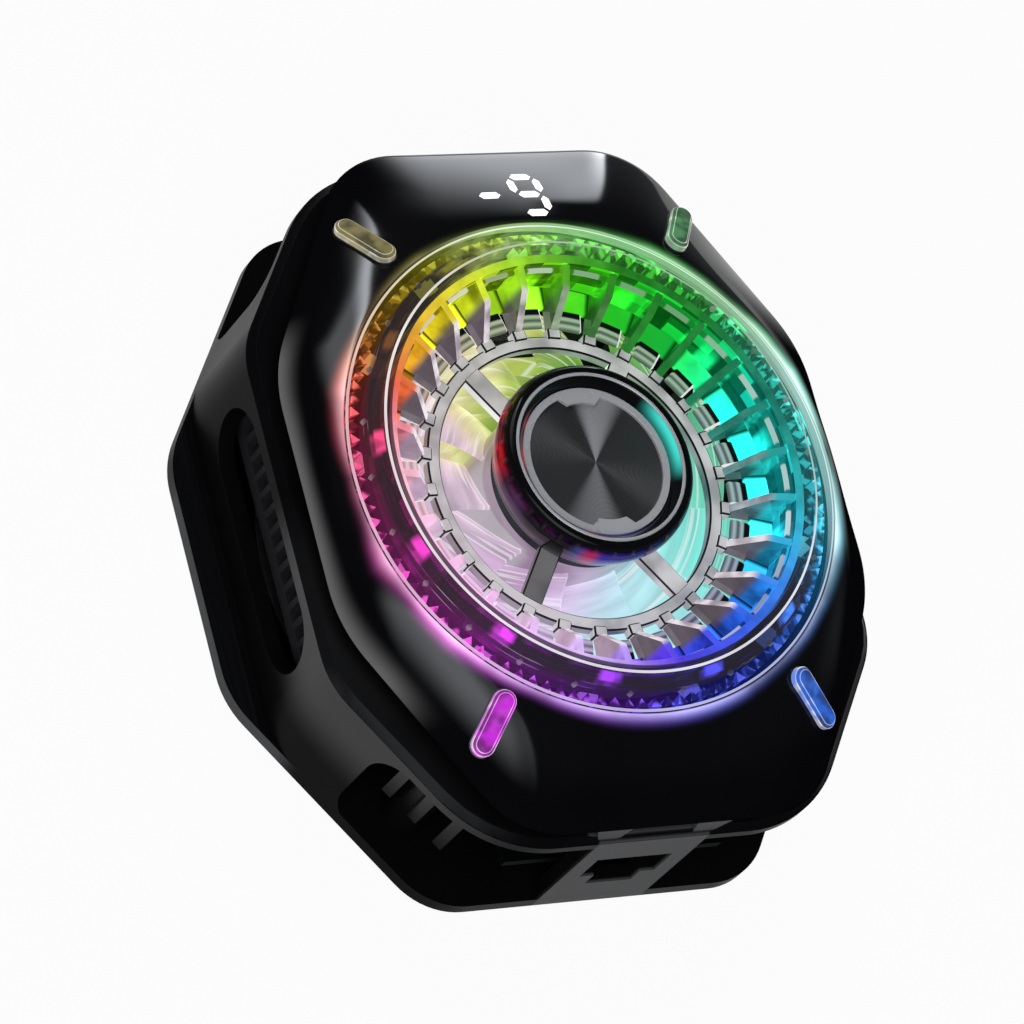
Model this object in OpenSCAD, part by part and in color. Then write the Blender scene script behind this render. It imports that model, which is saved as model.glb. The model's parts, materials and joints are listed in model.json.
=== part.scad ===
// Phone cooling fan: a magnet-backed Peltier cooler lying on its back, contact face down.
// Millimetres. The origin is the middle of the contact face, +Z points out through the fan,
// +Y points to the readout end and -Y to the port end.

/* [Body] */
// Length of the body, readout end to port end
body_l = 75; // [73:0.5:80]
// Width of the base across its two finger ledges
base_w = 69.4; // [67:0.2:74]
// Width of the base's straight edge at each end
base_end_w = 37; // [34:0.5:40]
// Length of the base's straight edge at each side
base_side_l = 26.4; // [22:0.2:30]
// Width of the housing between its side walls
housing_w = 62.6; // [61.6:0.2:65]
// Thickness of the base plate
base_t = 2.4; // [2.2:0.1:2.6]
// Height of the housing's top face above the contact face
housing_top = 17.7; // [17:0.1:20]
// Thickness of the housing's walls
housing_wall = 1.8; // [1.4:0.1:2.2]
// Thickness of the deck that closes the housing's top
deck_t = 1.5; // [1.2:0.1:2]
// Corner radius of the base where a chamfer meets an end
end_corner_r = 8; // [5:0.5:10]
// Corner radius of the housing where a chamfer meets an end
housing_corner_r = 14; // [10:0.5:16]
// Corner radius where a chamfer meets a side
side_corner_r = 10; // [6:0.5:12]

/* [Front cover] */
// Width of the front cover
cover_w = 61; // [60:0.5:63]
// Width of the cover's straight edge at each end
cover_end_w = 33.8; // [31:0.2:37]
// Length of the cover's straight edge at each side
cover_side_l = 27.4; // [24:0.2:30]
// Height of the cover from its lower edge to the ring
cover_h = 5.5; // [5:0.1:7]
// Thickness of the cover's skin
cover_wall = 1.9; // [1.6:0.1:2.1]
// Height of the recessed neck between housing and cover
neck_h = 2.2; // [1.6:0.1:3]
// How far the neck is set back from the cover's edge
neck_in = 1.4; // [1:0.1:1.5]

/* [Ring and guard] */
// Radius of the clear ring where it leaves the cover
ring_r = 27; // [26.4:0.1:27.4]
// Width of the clear ring's sloped band
rim_w = 3.1; // [2.4:0.1:3.4]
// Height of the rim above the ring's lower edge
rim_rise = 1.9; // [1.2:0.1:3]
// Wall of the clear ring
lens_wall = 0.9; // [0.7:0.1:1.1]
// Number of upright vanes in the guard
vane_count = 26; // [18:2:30]
// Thickness of a vane
vane_t = 0.8; // [0.6:0.1:1.1]
// Length of a vane, from the guard's wall to its inner ring
vane_l = 6.5; // [5.8:0.1:7.4]
// Width of the guard's inner ring
eye_w = 1.4; // [1:0.1:1.8]
// Width of a spoke
spoke_w = 2.3; // [1.6:0.1:3]
// Angle of the spokes and light bars, up from the X axis
spoke_angle = 55.4; // [50:0.2:60]

/* [Hub] */
// Radius of the hub cap
hub_r = 10.7; // [10:0.1:11.4]
// Radius of the bright trim ring's middle
trim_r = 9.2; // [8.9:0.1:9.5]
// Radius of the badge
badge_r = 8.15; // [7.6:0.05:8.3]
// Height of the hub cap's rim above the ring's lower edge
hub_rise = 1.3; // [0.8:0.1:2]

/* [Light bars and readout] */
// Length of a light bar
bar_l = 7.2; // [6:0.2:8]
// Width of a light bar
bar_w = 2.4; // [2:0.1:3]
// How far a light bar stands proud
bar_proud = 1; // [0.6:0.1:1.4]
// Gap between the ring and a light bar
bar_gap = 1.4; // [1:0.1:2]
// Height of a readout character, as a share of the band between the ring and the end
readout_share = 0.467; // [0.4:0.001:0.5]
// Width of a readout character, as a share of its height
digit_share = 0.612; // [0.54:0.001:0.66]
// Width of a segment, as a share of a character's height
segment_share = 0.163; // [0.12:0.001:0.18]

/* [Fan] */
// Gap between the blade tips and the duct
tip_gap = 1; // [0.6:0.1:1.6]
// Radius of the impeller's hub
impeller_hub_r = 9.6; // [9.4:0.1:10.4]
// Number of blades
blade_count = 11; // [7:1:13]
// Height of the impeller
impeller_h = 7.9; // [7.4:0.1:8.2]
// Radius of the shaft
shaft_r = 1; // [0.75:0.05:1.2]
// Running clearance between shaft and bearing
shaft_clear = 0.03; // [0.01:0.01:0.08]

/* [Cooling stack] */
// Thickness of the soft contact pad
pad_t = 0.5; // [0.3:0.1:0.8]
// Radius of the cold plate
cold_r = 20.3; // [18:0.1:20.6]
// Thickness of the cold plate
cold_t = 2.3; // [2.2:0.1:2.8]
// Side of the square Peltier module
peltier_w = 30; // [25:0.5:30]
// Thickness of the Peltier module
peltier_t = 3.2; // [3:0.1:3.6]
// Thickness of the heat sink's base
sink_base_t = 1.6; // [1.2:0.1:2]
// Spacing of the fins
fin_pitch = 2.05; // [1.8:0.05:2.6]
// Thickness of a fin
fin_t = 0.7; // [0.5:0.05:1]
// Number of fins
fin_count = 21; // [15:2:21]

/* [Openings] */
// Length of the slot in each side wall
slot_l = 28.4; // [22:0.2:30]
// Height of the slot in each side wall
slot_h = 9.2; // [7:0.2:9.8]
// Height of the slot's lower edge above the contact face
slot_z = 6.2; // [5.6:0.1:6.4]
// Width of the post between the two vents at each end
post_w = 12.7; // [11.6:0.1:15]
// Distance along the chamfer from its side corner to the vent
vent_start = 8.5; // [7:0.1:10]
// Width of the port's wide upper row
port_w = 8.6; // [8.4:0.1:9.4]
// Height of the port's wide upper row
port_h = 4.3; // [3.6:0.1:4.6]

/* [Hidden] */
$fn = 64;
// Number of sides on the circles inside a blended outline
hull_fn = 32;
// A hair, so that cuts pass cleanly through faces
eps = 0.01;
// Play between pieces that slide together once, at assembly
seat = 0.1;
// Bevel on the edges of the plate and the housing
edge_bevel = 0.8;
// Small step where a bevel meets the wall above it
bevel_step = 0.05;

// Heights of the main levels
cover_z = housing_top + neck_h;
ring_z = cover_z + cover_h;
rim_z = ring_z + rim_rise;
deck_z = housing_top - deck_t;

// Cooling stack, from the contact face up
cold_z = pad_t;
peltier_z = cold_z + cold_t;
sink_z = peltier_z + peltier_t;
sink_top = sink_z + sink_base_t;
cold_lip_r = cold_r + 1.9;
gasket_wall = 0.8;

// Eight-cornered outlines
corner_slope = (body_l - base_side_l) / (base_w - base_end_w);
housing_side_l = base_side_l + (base_w - housing_w) * corner_slope;
base_pts = octagon(base_w, body_l, base_end_w, base_side_l);
housing_pts = octagon(housing_w, body_l, base_end_w, housing_side_l);
cover_pts = octagon(cover_w, body_l, cover_end_w, cover_side_l);
base_radii = corner_radii(side_corner_r, end_corner_r);
housing_radii = corner_radii(side_corner_r, housing_corner_r);
cover_side_r = 16;
cover_end_r = 10;
cover_radii = corner_radii(cover_side_r, cover_end_r);

// Rounded edge of the cover: how far it draws in and how high it rises over that
crown_in = 1.2;
crown_rise = 1;
crown_lap = 0.3;
crown_z = cover_z + 0.6;
crown_steps = [0, 25, 50, 80];
// Flat lip round the ring's hole
cover_lip_r = ring_r + 0.35;

// Slope of the cover where a light bar sits
chamfer_n = outward(cover_pts, 0);
bar_dir = [cos(spoke_angle), sin(spoke_angle)];
crown_top_z = crown_z + crown_rise;
bar_edge_r = (chamfer_n * cover_pts[0] - crown_in) / (chamfer_n * bar_dir);
bar_slope = (ring_z - crown_top_z) / (bar_edge_r - cover_lip_r);
bar_r = ring_r + bar_gap + bar_l / 2;
bar_z = ring_z - (bar_r - cover_lip_r) * bar_slope;
bar_depth = 1.5;
bar_chamfer = 0.4;
spoke_angles = [spoke_angle, 180 - spoke_angle, 180 + spoke_angle, 360 - spoke_angle];

// Readout, sized from the band between the ring and the readout end
readout_band = body_l / 2 - ring_r;
readout_mid = 0.376;
readout_y = ring_r + readout_mid * readout_band;
digit_h = readout_share * readout_band;
digit_w = digit_share * digit_h;
digit_pitch = 0.939 * digit_h;
segment_w = segment_share * digit_h;
segment_gap = 0.071 * digit_h;
readout_x = -0.112 * digit_h;
readout_board_t = 0.8;
readout_margin = 0.8;

// Guard
guard_wall_t = 0.85;
rim_r = ring_r - rim_w;
lens_in_r = rim_r - lens_wall;
guard_r = lens_in_r - seat;
guard_drop = 0.3;
eye_z = cover_z - guard_drop;
eye_h = 1.1;
eye_out_r = guard_r - vane_l;
eye_r = eye_out_r - eye_w;
eye_top = eye_z + eye_h;
hub_plate_r = hub_r - 0.4;
hub_plate_h = 1.6;
hub_plate_top = eye_z + hub_plate_h;
knee_share = 0.51;
knee_r = eye_out_r + knee_share * vane_l;
knee_z = ring_z - 0.4;
shoulder_z = rim_z - 1.1;
rib_w = 0.35;
rib_h = 0.5;
rib_z = ring_z - 1;
floor_w = 3.3;
floor_in_r = guard_r - floor_w;
floor_z = cover_z + 0.1;
floor_t = 0.6;
block_w = 1.5;
block_l = 1.2;
block_rise = 0.35;
tongue_l = 2.2;
tongue_w = 2.6;
vane_pitch = 360 / vane_count;

// Duct, light board and lens
guard_seat = 0.5;
duct_r = guard_r - guard_seat;
impeller_r = duct_r - tip_gap;
duct_wall = 1.2;
duct_skirt = 2.4;
led_board_t = 1;
led_board_r = ring_r + 0.45;
led_board_z = cover_z;
led_top = led_board_z + led_board_t;
led_size = 2;
led_h = 0.8;
led_r = (lens_in_r + ring_r) / 2;
bar_led_size = 1.6;
bar_led_h = 0.4;
bar_led_r = ring_r + 0.8;
led_arm_w = 4;
led_arm_r = bar_led_r + bar_led_size + bar_led_h;
lens_lip = 0.4;
lens_lip_h = 0.6;

// Hub cap and badge
hub_rim_z = ring_z + hub_rise;
hub_belly_z = ring_z - 0.8;
hub_rim_w = 0.3;
trim_w = 0.36;
trim_h = 0.4;
badge_ring_t = 0.35;
badge_disc_t = 0.6;
badge_z = ring_z - 0.7;
badge_ring_w = 0.8;
tab_depth = 0.9;
tab_w = 3.6;
tab_flare = 0.6;

// Fan heights
fan_gap = 0.4;
impeller_top = eye_z - fan_gap;
impeller_z = impeller_top - impeller_h;
low_fin_gap = 0.7;
low_fin_top = impeller_z - low_fin_gap;
cup_wall = 0.9;
cup_roof = 1.2;
cup_in_r = impeller_hub_r - cup_wall;
cup_ceiling = impeller_top - cup_roof;
yoke_t = 0.7;
magnet_t = 0.8;
yoke_in_r = cup_in_r - yoke_t;
rotor_magnet_in_r = yoke_in_r - magnet_t;
air_gap = 0.4;
stator_r = rotor_magnet_in_r - air_gap;
rotor_skirt = 0.3;

// Motor
motor_plate_t = 1.2;
motor_plate_r = impeller_hub_r + 1.2;
motor_plate_z = sink_top;
motor_plate_top = motor_plate_z + motor_plate_t;
sleeve_wall = 0.9;
sleeve_bore = shaft_r + shaft_clear;
sleeve_r = sleeve_bore + sleeve_wall;
tube_wall = 1.2;
tube_r = sleeve_r + tube_wall;
thrust_t = 0.4;
thrust_gap = 0.05;
clip_h = 0.3;
clip_z = motor_plate_z + thrust_t + 0.4;
clip_r = shaft_r + 0.6;
sleeve_gap = 0.3;
sleeve_z = clip_z + clip_h + sleeve_gap;
boss_r = shaft_r + 1.2;
boss_h = 1;
boss_z = cup_ceiling - boss_h;
tube_top = boss_z - sleeve_gap;
motor_board_t = 0.8;
motor_board_z = motor_plate_top;
motor_board_r = impeller_hub_r - 0.4;
coil_h = 0.8;
stator_z = motor_board_z + motor_board_t + coil_h + 0.4;
stator_top = tube_top - coil_h - 0.2;
stator_h = stator_top - stator_z;
pole_count = 6;
pole_w = 1.6;
pole_shoe_t = 0.8;
stator_hub_t = 0.9;

// Blades
blade_sections = 5;
chord_points = 6;
blade_root_r = impeller_hub_r - cup_wall / 2;
blade_pitch_root = 40;
blade_pitch_tip = 27;
blade_sweep = 16;
blade_camber = 0.09;
blade_skin = 0.45;
blade_belly = 0.55;
blade_margin = 0.5;

// Heat sink
sink_gap = 1.1;
fin_gap = 0.8;
fin_top = deck_z - fin_gap;
sink_w = housing_w - 2 * (housing_wall + sink_gap);
sink_l = (fin_count - 1) * fin_pitch + fin_t;
well_r = impeller_r + 1.2;
skirt_clear_r = duct_r + duct_wall + 0.3;

// Magnets
magnet_z = 0.8;
magnet_count = 18;
groove_in_r = cold_lip_r + 0.7;
groove_w = 4.7;
groove_out_r = groove_in_r + groove_w;
backing_t = 0.6;
magnet_span = 360 / magnet_count - 2;

// Screws
screw_r = 0.9;
screw_head_r = 1.7;
screw_head_h = 1.1;
screw_post_r = 2.2;
sink_screw_in = 6.3;
sink_screw_back = 0.9;
sink_screw_xy = [housing_w / 2 - sink_screw_in, housing_side_l / 2 - sink_screw_back];
base_screw_out = 0.5;
base_screw_back = 10.5;
base_screw_xy = [base_end_w / 2 + base_screw_out, body_l / 2 - base_screw_back];
base_screw_l = 6.5;
cover_screw_in = 5.9;
cover_screw_back = 5;
cover_screw_xy = [cover_end_w / 2 - cover_screw_in, body_l / 2 - cover_screw_back];
cover_screw_bite = 1.3;
cover_post_r = 1.7;

// Port, board and chips
board_t = 1;
port_shell_w = 8.94;
port_shell_h = 3.26;
port_shell_l = 7.3;
port_shell_t = 0.3;
port_mid_z = 10.3;
board_top = port_mid_z - port_shell_h / 2;
board_z = board_top - board_t;
board_w = 25;
board_l = 8;
board_y = -body_l / 2 + housing_wall + 0.25;
board_post_r = 1.5;
board_post_x = board_w / 2 - 2;
board_post_y = board_y + board_l - 2.2;
board_screw_bite = 2.4;
chip_w = 3;
chip_h = 1;
chip_x = 7.4;
chip_margin = 0.4;
driver_w = 3.6;
driver_l = 2.8;
driver_h = 0.9;
choke_w = 2.4;
choke_h = 1.2;
choke_x = 4.4;
port_step_w = 5.3;
port_step_h = 2.2;
port_z = port_mid_z - port_h / 2;
tongue_plate_w = 6.7;
tongue_plate_h = 0.7;
tongue_plate_l = 4.6;

// Vents
vent_z = base_t - 1;
vent_top = deck_z - 0.4;
vent_corner_r = 4;
chamfer_dir = unit(housing_pts[1] - housing_pts[0]);
housing_n = outward(housing_pts, 0);
louvre_first = 3.1;
louvre_pitch = 3.6;
louvre_count = 3;
louvre_w = 1.2;
louvre_d = 1.6;
louvre_in = 2.1;
louvre_h = 8.4;
ear_w = 2;
ear_flare = 1.4;
ear_in = 0.3;
ear_t = neck_in - ear_in - seat / 2;

// Finger ledge
ledge_rise = 0.5;
ledge_groove = 0.9;
ledge_scoop_r = 5;
ledge_scoop = 0.45;
ledge_in = 0.2;

// Geometry helpers

function unit(v) = v / norm(v);

// Corners of an eight-sided outline, anticlockwise from the upper right-hand side
function octagon(w, l, end_w, side_l) = [
  [w / 2, side_l / 2], [end_w / 2, l / 2], [-end_w / 2, l / 2], [-w / 2, side_l / 2],
  [-w / 2, -side_l / 2], [-end_w / 2, -l / 2], [end_w / 2, -l / 2], [w / 2, -side_l / 2]];

function corner_radii(side_r, end_r) =
  [side_r, end_r, end_r, side_r, side_r, end_r, end_r, side_r];

function to_prev(pts, i) = unit(pts[(i + 7) % 8] - pts[i]);
function to_next(pts, i) = unit(pts[(i + 1) % 8] - pts[i]);
function half_angle(pts, i) = acos(to_prev(pts, i) * to_next(pts, i)) / 2;
function bisector(pts, i) = unit(to_prev(pts, i) + to_next(pts, i));
// Outward normal of the edge that leaves corner i
function outward(pts, i) = [to_next(pts, i)[1], -to_next(pts, i)[0]];
// The same outline drawn in by an even distance
function drawn_in(pts, d) =
  [for (i = [0:7]) pts[i] + bisector(pts, i) * d / sin(half_angle(pts, i))];

// An eight-sided outline with each corner rounded by its own arc
module rounded_octagon(pts, radii) {
  reach = [for (i = [0:7]) radii[i] / tan(half_angle(pts, i))];
  polygon([for (i = [0:7]) each [
    pts[i] + to_prev(pts, i) * reach[i],
    pts[i] + to_next(pts, i) * reach[i]]]);
  for (i = [0:7])
    translate(pts[i] + bisector(pts, i) * radii[i] / sin(half_angle(pts, i))) circle(radii[i]);
}

module inset_outline(pts, radii, d)
  rounded_octagon(drawn_in(pts, d), [for (r = radii) r - d]);

module base_outline(d) inset_outline(base_pts, base_radii, d);
module housing_outline(d) inset_outline(housing_pts, housing_radii, d);
module cover_outline(d) inset_outline(cover_pts, cover_radii, d);

// A thin slice of an outline, used as one rung of a blended form
module slice(z) translate([0, 0, z]) linear_extrude(eps) children();

module tube(r_out, r_in, h) {
  difference() {
    cylinder(r = r_out, h = h);
    translate([0, 0, -eps]) cylinder(r = r_in, h = h + 2 * eps);
  }
}

// One copy in each quadrant
module four_corners(p) {
  for (sx = [-1, 1], sy = [-1, 1]) translate([sx * p[0], sy * p[1], 0]) children();
}

// One mirrored copy in each quadrant
module mirrored_quadrants() {
  for (mx = [0, 1], my = [0, 1]) mirror([mx, 0, 0]) mirror([0, my, 0]) children();
}

// A cap screw with its head's underside at z = 0 and its shank pointing up
module screw(l) {
  translate([0, 0, -screw_head_h]) cylinder(r = screw_head_r, h = screw_head_h);
  translate([0, 0, -eps]) cylinder(r = screw_r, h = l + eps);
}

// A round-ended bar lying along X
module stadium(l, w) {
  square([l - w, w], center = true);
  for (s = [-1, 1]) translate([s * (l - w) / 2, 0]) circle(w / 2);
}

// Cooling stack

module contact_pad() {
  color("dimgray") cylinder(r = cold_r - 0.3, h = pad_t);
}

module cold_plate() {
  color("silver") translate([0, 0, cold_z]) {
    cylinder(r = cold_r, h = cold_t);
    translate([0, 0, base_t - cold_z]) cylinder(r = cold_lip_r, h = peltier_z - base_t);
  }
}

module peltier_module() {
  plate_t = peltier_t * 0.25;
  color("whitesmoke") translate([0, 0, peltier_z]) {
    for (z = [0, peltier_t - plate_t])
      translate([-peltier_w / 2, -peltier_w / 2, z]) cube([peltier_w, peltier_w, plate_t]);
    translate([-peltier_w / 2 + 1, -peltier_w / 2 + 1, plate_t - eps])
      cube([peltier_w - 2, peltier_w - 2, peltier_t - 2 * plate_t + 2 * eps]);
  }
}

module foam_gasket() {
  inner = peltier_w + 2 * seat;
  outer = inner + 2 * gasket_wall;
  color("black") translate([0, 0, peltier_z]) difference() {
    translate([-outer / 2, -outer / 2, 0]) cube([outer, outer, peltier_t]);
    translate([-inner / 2, -inner / 2, -eps]) cube([inner, inner, peltier_t + 2 * eps]);
  }
}

module magnets() {
  color("gray") for (i = [0:magnet_count - 1])
    rotate([0, 0, i * 360 / magnet_count - magnet_span / 2])
      translate([0, 0, magnet_z]) rotate_extrude(angle = magnet_span)
        translate([groove_in_r + seat, 0])
          square([groove_w - 2 * seat, base_t - backing_t - magnet_z]);
}

module magnet_backing_ring() {
  color("silver") translate([0, 0, base_t - backing_t])
    tube(groove_out_r - seat, groove_in_r + seat, backing_t);
}

module heat_sink() {
  color("darkgray") difference() {
    intersection() {
      union() {
        translate([-sink_w / 2, -sink_l / 2, sink_z]) cube([sink_w, sink_l, sink_base_t]);
        for (i = [0:fin_count - 1])
          translate([-sink_w / 2, -sink_l / 2 + i * fin_pitch, sink_top - eps])
            cube([sink_w, fin_t, fin_top - sink_top + eps]);
      }
      translate([0, 0, sink_z]) linear_extrude(fin_top) housing_outline(housing_wall + sink_gap);
    }
    translate([0, 0, low_fin_top]) cylinder(r = well_r, h = fin_top);
    translate([0, 0, housing_top - duct_skirt - fan_gap]) cylinder(r = skirt_clear_r, h = fin_top);
    translate([0, 0, sink_top]) cylinder(r = motor_plate_r + seat, h = fin_top);
    four_corners(sink_screw_xy) translate([0, 0, sink_top])
      cylinder(r = screw_head_r + 0.4, h = fin_top);
    four_corners(sink_screw_xy) translate([0, 0, sink_z - eps])
      cylinder(r = screw_r + seat, h = sink_base_t + 2 * eps);
  }
}

module sink_screws() {
  color("silver") four_corners(sink_screw_xy) translate([0, 0, sink_top])
    rotate([180, 0, 0]) screw(sink_base_t + sink_z - base_t - 0.8);
}

// Base plate and housing

module base_plate() {
  color([0.09, 0.09, 0.1]) difference() {
    union() {
      hull() {
        $fn = hull_fn;
        slice(0) base_outline(edge_bevel);
        slice(edge_bevel) base_outline(bevel_step);
      }
      translate([0, 0, edge_bevel]) linear_extrude(base_t - edge_bevel) base_outline(0);
      finger_ledges();
      four_corners(sink_screw_xy) translate([0, 0, base_t - eps])
        cylinder(r = screw_post_r, h = sink_z - base_t + eps);
      for (s = [-1, 1]) translate([s * board_post_x, board_post_y, base_t - eps])
        cylinder(r = board_post_r, h = board_z - base_t + eps);
    }
    translate([0, 0, -eps]) cylinder(r = cold_r + seat, h = base_t + 2 * eps);
    translate([0, 0, magnet_z]) tube(groove_out_r, groove_in_r, base_t);
    four_corners(sink_screw_xy) translate([0, 0, base_t + 0.4])
      cylinder(r = screw_r + eps, h = sink_z);
    for (s = [-1, 1]) translate([s * board_post_x, board_post_y, base_t + 0.4])
      cylinder(r = screw_r + eps, h = board_z);
    four_corners(base_screw_xy) translate([0, 0, -eps])
      cylinder(r = screw_r + seat, h = base_t + 2 * eps);
    four_corners(base_screw_xy) translate([0, 0, -eps])
      cylinder(r = screw_head_r + seat, h = screw_head_h + 0.2 + eps);
  }
}

// The raised rim along each side, hollowed for a fingertip
module finger_ledges() {
  inner_x = housing_w / 2 + ledge_groove;
  difference() {
    translate([0, 0, base_t - eps]) linear_extrude(ledge_rise + eps) difference() {
      base_outline(ledge_in);
      square([2 * inner_x, body_l], center = true);
    }
    for (s = [-1, 1])
      translate([s * (inner_x + base_w / 2) / 2, 0, base_t + ledge_rise - ledge_scoop + ledge_scoop_r])
        rotate([90, 0, 0]) cylinder(r = ledge_scoop_r, h = body_l, center = true);
  }
}

module base_screws() {
  color("silver") four_corners(base_screw_xy) translate([0, 0, screw_head_h + 0.2])
    screw(base_screw_l);
}

module rear_housing() {
  color([0.07, 0.07, 0.08]) {
    difference() {
      union() {
        translate([0, 0, base_t]) linear_extrude(housing_top - edge_bevel - base_t)
          housing_outline(0);
        hull() {
          $fn = hull_fn;
          slice(housing_top - edge_bevel - 2 * eps) housing_outline(bevel_step);
          slice(housing_top - eps) housing_outline(edge_bevel);
        }
      }
      translate([0, 0, base_t - eps]) linear_extrude(deck_z - base_t + eps)
        housing_outline(housing_wall);
      cylinder(r = duct_r + duct_wall + seat, h = housing_top + eps);
      for (s = [-1, 1]) side_slot(s);
      mirrored_quadrants() corner_vent();
      port_opening();
      four_corners(cover_screw_xy) translate([0, 0, deck_z - eps])
        cylinder(r = screw_r + seat, h = deck_t + 2 * eps);
    }
    mirrored_quadrants() louvres();
    four_corners(base_screw_xy) translate([0, 0, base_t]) difference() {
      cylinder(r = screw_post_r, h = deck_z - base_t + eps);
      translate([0, 0, -eps]) cylinder(r = screw_r + eps, h = base_screw_l + eps);
    }
    for (s = [-1, 1]) post_ear(s);
  }
}

// Long round-ended slot through a side wall, where the fins show
module side_slot(s) {
  translate([s * (housing_w - housing_wall) / 2, 0, slot_z + slot_h / 2]) rotate([90, 0, 90])
    linear_extrude(2 * housing_wall, center = true) stadium(slot_l, slot_h);
}

// Tall vent that starts on a chamfer and wraps round the corner to the end's post
module corner_vent() {
  start = housing_pts[0] + chamfer_dir * vent_start;
  turn = housing_pts[1];
  outer = housing_n * housing_wall;
  inner = housing_n * -2 * housing_wall;
  main = start + chamfer_dir * (vent_corner_r + 1);
  post_x = post_w / 2;
  tall = vent_top - vent_z;
  from = start + inner;
  translate([0, 0, vent_z]) linear_extrude(tall) polygon([
    main + inner, main + outer, turn + outer + [0, housing_wall],
    [post_x, turn[1] + housing_wall], [post_x, turn[1] - 2 * housing_wall],
    turn + inner - [0, housing_wall]]);
  translate([from[0], from[1], vent_z]) rotate([90, 0, atan2(chamfer_dir[1], chamfer_dir[0])])
    linear_extrude(3 * housing_wall) vent_profile(vent_corner_r + 2, tall);
}

// A rectangle whose two left-hand corners are rounded
module vent_profile(l, h) {
  r = vent_corner_r;
  polygon([[r, 0], [l, 0], [l, h], [r, h], [0, h - r], [0, r]]);
  for (y = [r, h - r]) translate([r, y]) circle(r);
}

// Upright bars that hang from the deck inside a corner vent
module louvres() {
  for (i = [0:louvre_count - 1]) {
    at = housing_pts[0] + chamfer_dir * (vent_start + louvre_first + i * louvre_pitch)
      - housing_n * louvre_in;
    translate([at[0], at[1], deck_z - louvre_h]) rotate([0, 0, atan2(housing_n[1], housing_n[0])])
      translate([-louvre_d, -louvre_w / 2, 0]) cube([louvre_d, louvre_w, louvre_h + eps]);
  }
}

// Stepped opening in the port end's post
module port_opening() {
  translate([0, -body_l / 2 + housing_wall / 2, 0]) {
    translate([0, 0, port_mid_z]) cube([port_w, 2 * housing_wall, port_h], center = true);
    translate([-port_step_w / 2, -housing_wall, port_z - port_step_h])
      cube([port_step_w, 2 * housing_wall, port_step_h + eps]);
  }
}

// Flared ear on each top corner of the port's post, reaching up to the cover
module post_ear(s) {
  x = post_w / 2 - ear_w;
  translate([0, -body_l / 2 + ear_in + ear_t, housing_top - edge_bevel]) rotate([90, 0, 0])
    linear_extrude(ear_t) polygon([
      [s * x, 0], [s * (x + ear_w), 0], [s * (x + ear_w + ear_flare), neck_h + edge_bevel - seat],
      [s * (x - ear_flare / 2), neck_h + edge_bevel - seat]]);
}

// Power inlet and board

module control_board() {
  color("darkgreen") translate([0, 0, board_z]) difference() {
    translate([-board_w / 2, board_y, 0]) cube([board_w, board_l, board_t]);
    for (s = [-1, 1]) translate([s * board_post_x, board_post_y, -eps])
      cylinder(r = screw_r + seat, h = board_t + 2 * eps);
  }
}

module board_chips() {
  rear_y = board_y + board_l - chip_margin;
  color([0.12, 0.12, 0.13]) {
    for (s = [-1, 1]) translate([s * chip_x - chip_w / 2, board_y + 2 * chip_margin, board_top])
      cube([chip_w, chip_w, chip_h]);
    translate([-driver_w / 2, rear_y - driver_l, board_z - driver_h])
      cube([driver_w, driver_l, driver_h]);
    translate([choke_x, rear_y - choke_w, board_z - choke_h]) cube([choke_w, choke_w, choke_h]);
  }
}

module board_screws() {
  color("silver") for (s = [-1, 1]) translate([s * board_post_x, board_post_y, board_top])
    rotate([180, 0, 0]) screw(board_t + board_screw_bite);
}

module port_profile(inset)
  stadium(port_shell_w - 2 * inset, port_shell_h - 2 * inset);

module usb_receptacle() {
  color("silver") translate([0, board_y, port_mid_z]) rotate([-90, 0, 0]) difference() {
    linear_extrude(port_shell_l) port_profile(0);
    translate([0, 0, -eps]) linear_extrude(port_shell_l - port_shell_t + eps)
      port_profile(port_shell_t);
  }
}

module usb_tongue() {
  back = port_shell_l - port_shell_t;
  color("black") translate([0, board_y + back - tongue_plate_l, port_mid_z])
    translate([-tongue_plate_w / 2, 0, -tongue_plate_h / 2])
      cube([tongue_plate_w, tongue_plate_l, tongue_plate_h]);
}

// Motor

module motor_base() {
  color([0.1, 0.1, 0.11]) translate([0, 0, motor_plate_z]) difference() {
    union() {
      cylinder(r = motor_plate_r, h = motor_plate_t);
      cylinder(r = tube_r, h = tube_top - motor_plate_z);
    }
    translate([0, 0, thrust_t]) cylinder(r = sleeve_r, h = tube_top);
  }
}

module motor_board() {
  color("darkgreen") translate([0, 0, motor_board_z])
    tube(motor_board_r, tube_r + seat, motor_board_t);
}

module bearing_sleeve() {
  color("goldenrod") translate([0, 0, sleeve_z]) tube(sleeve_r, sleeve_bore, tube_top - sleeve_z);
}

module stator_core() {
  hub_out_r = tube_r + stator_hub_t;
  color("slategray") translate([0, 0, stator_z]) linear_extrude(stator_h) difference() {
    union() {
      circle(hub_out_r);
      for (i = [0:pole_count - 1]) rotate([0, 0, i * 360 / pole_count]) {
        translate([hub_out_r - 0.5, -pole_w / 2])
          square([stator_r - hub_out_r + 0.5 - pole_shoe_t / 2, pole_w]);
        intersection() {
          difference() {
            circle(stator_r);
            circle(stator_r - pole_shoe_t);
          }
          polygon([[0, 0], [stator_r * 1.2, -stator_r * 0.5], [stator_r * 1.2, stator_r * 0.5]]);
        }
      }
    }
    circle(tube_r);
  }
}

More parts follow.
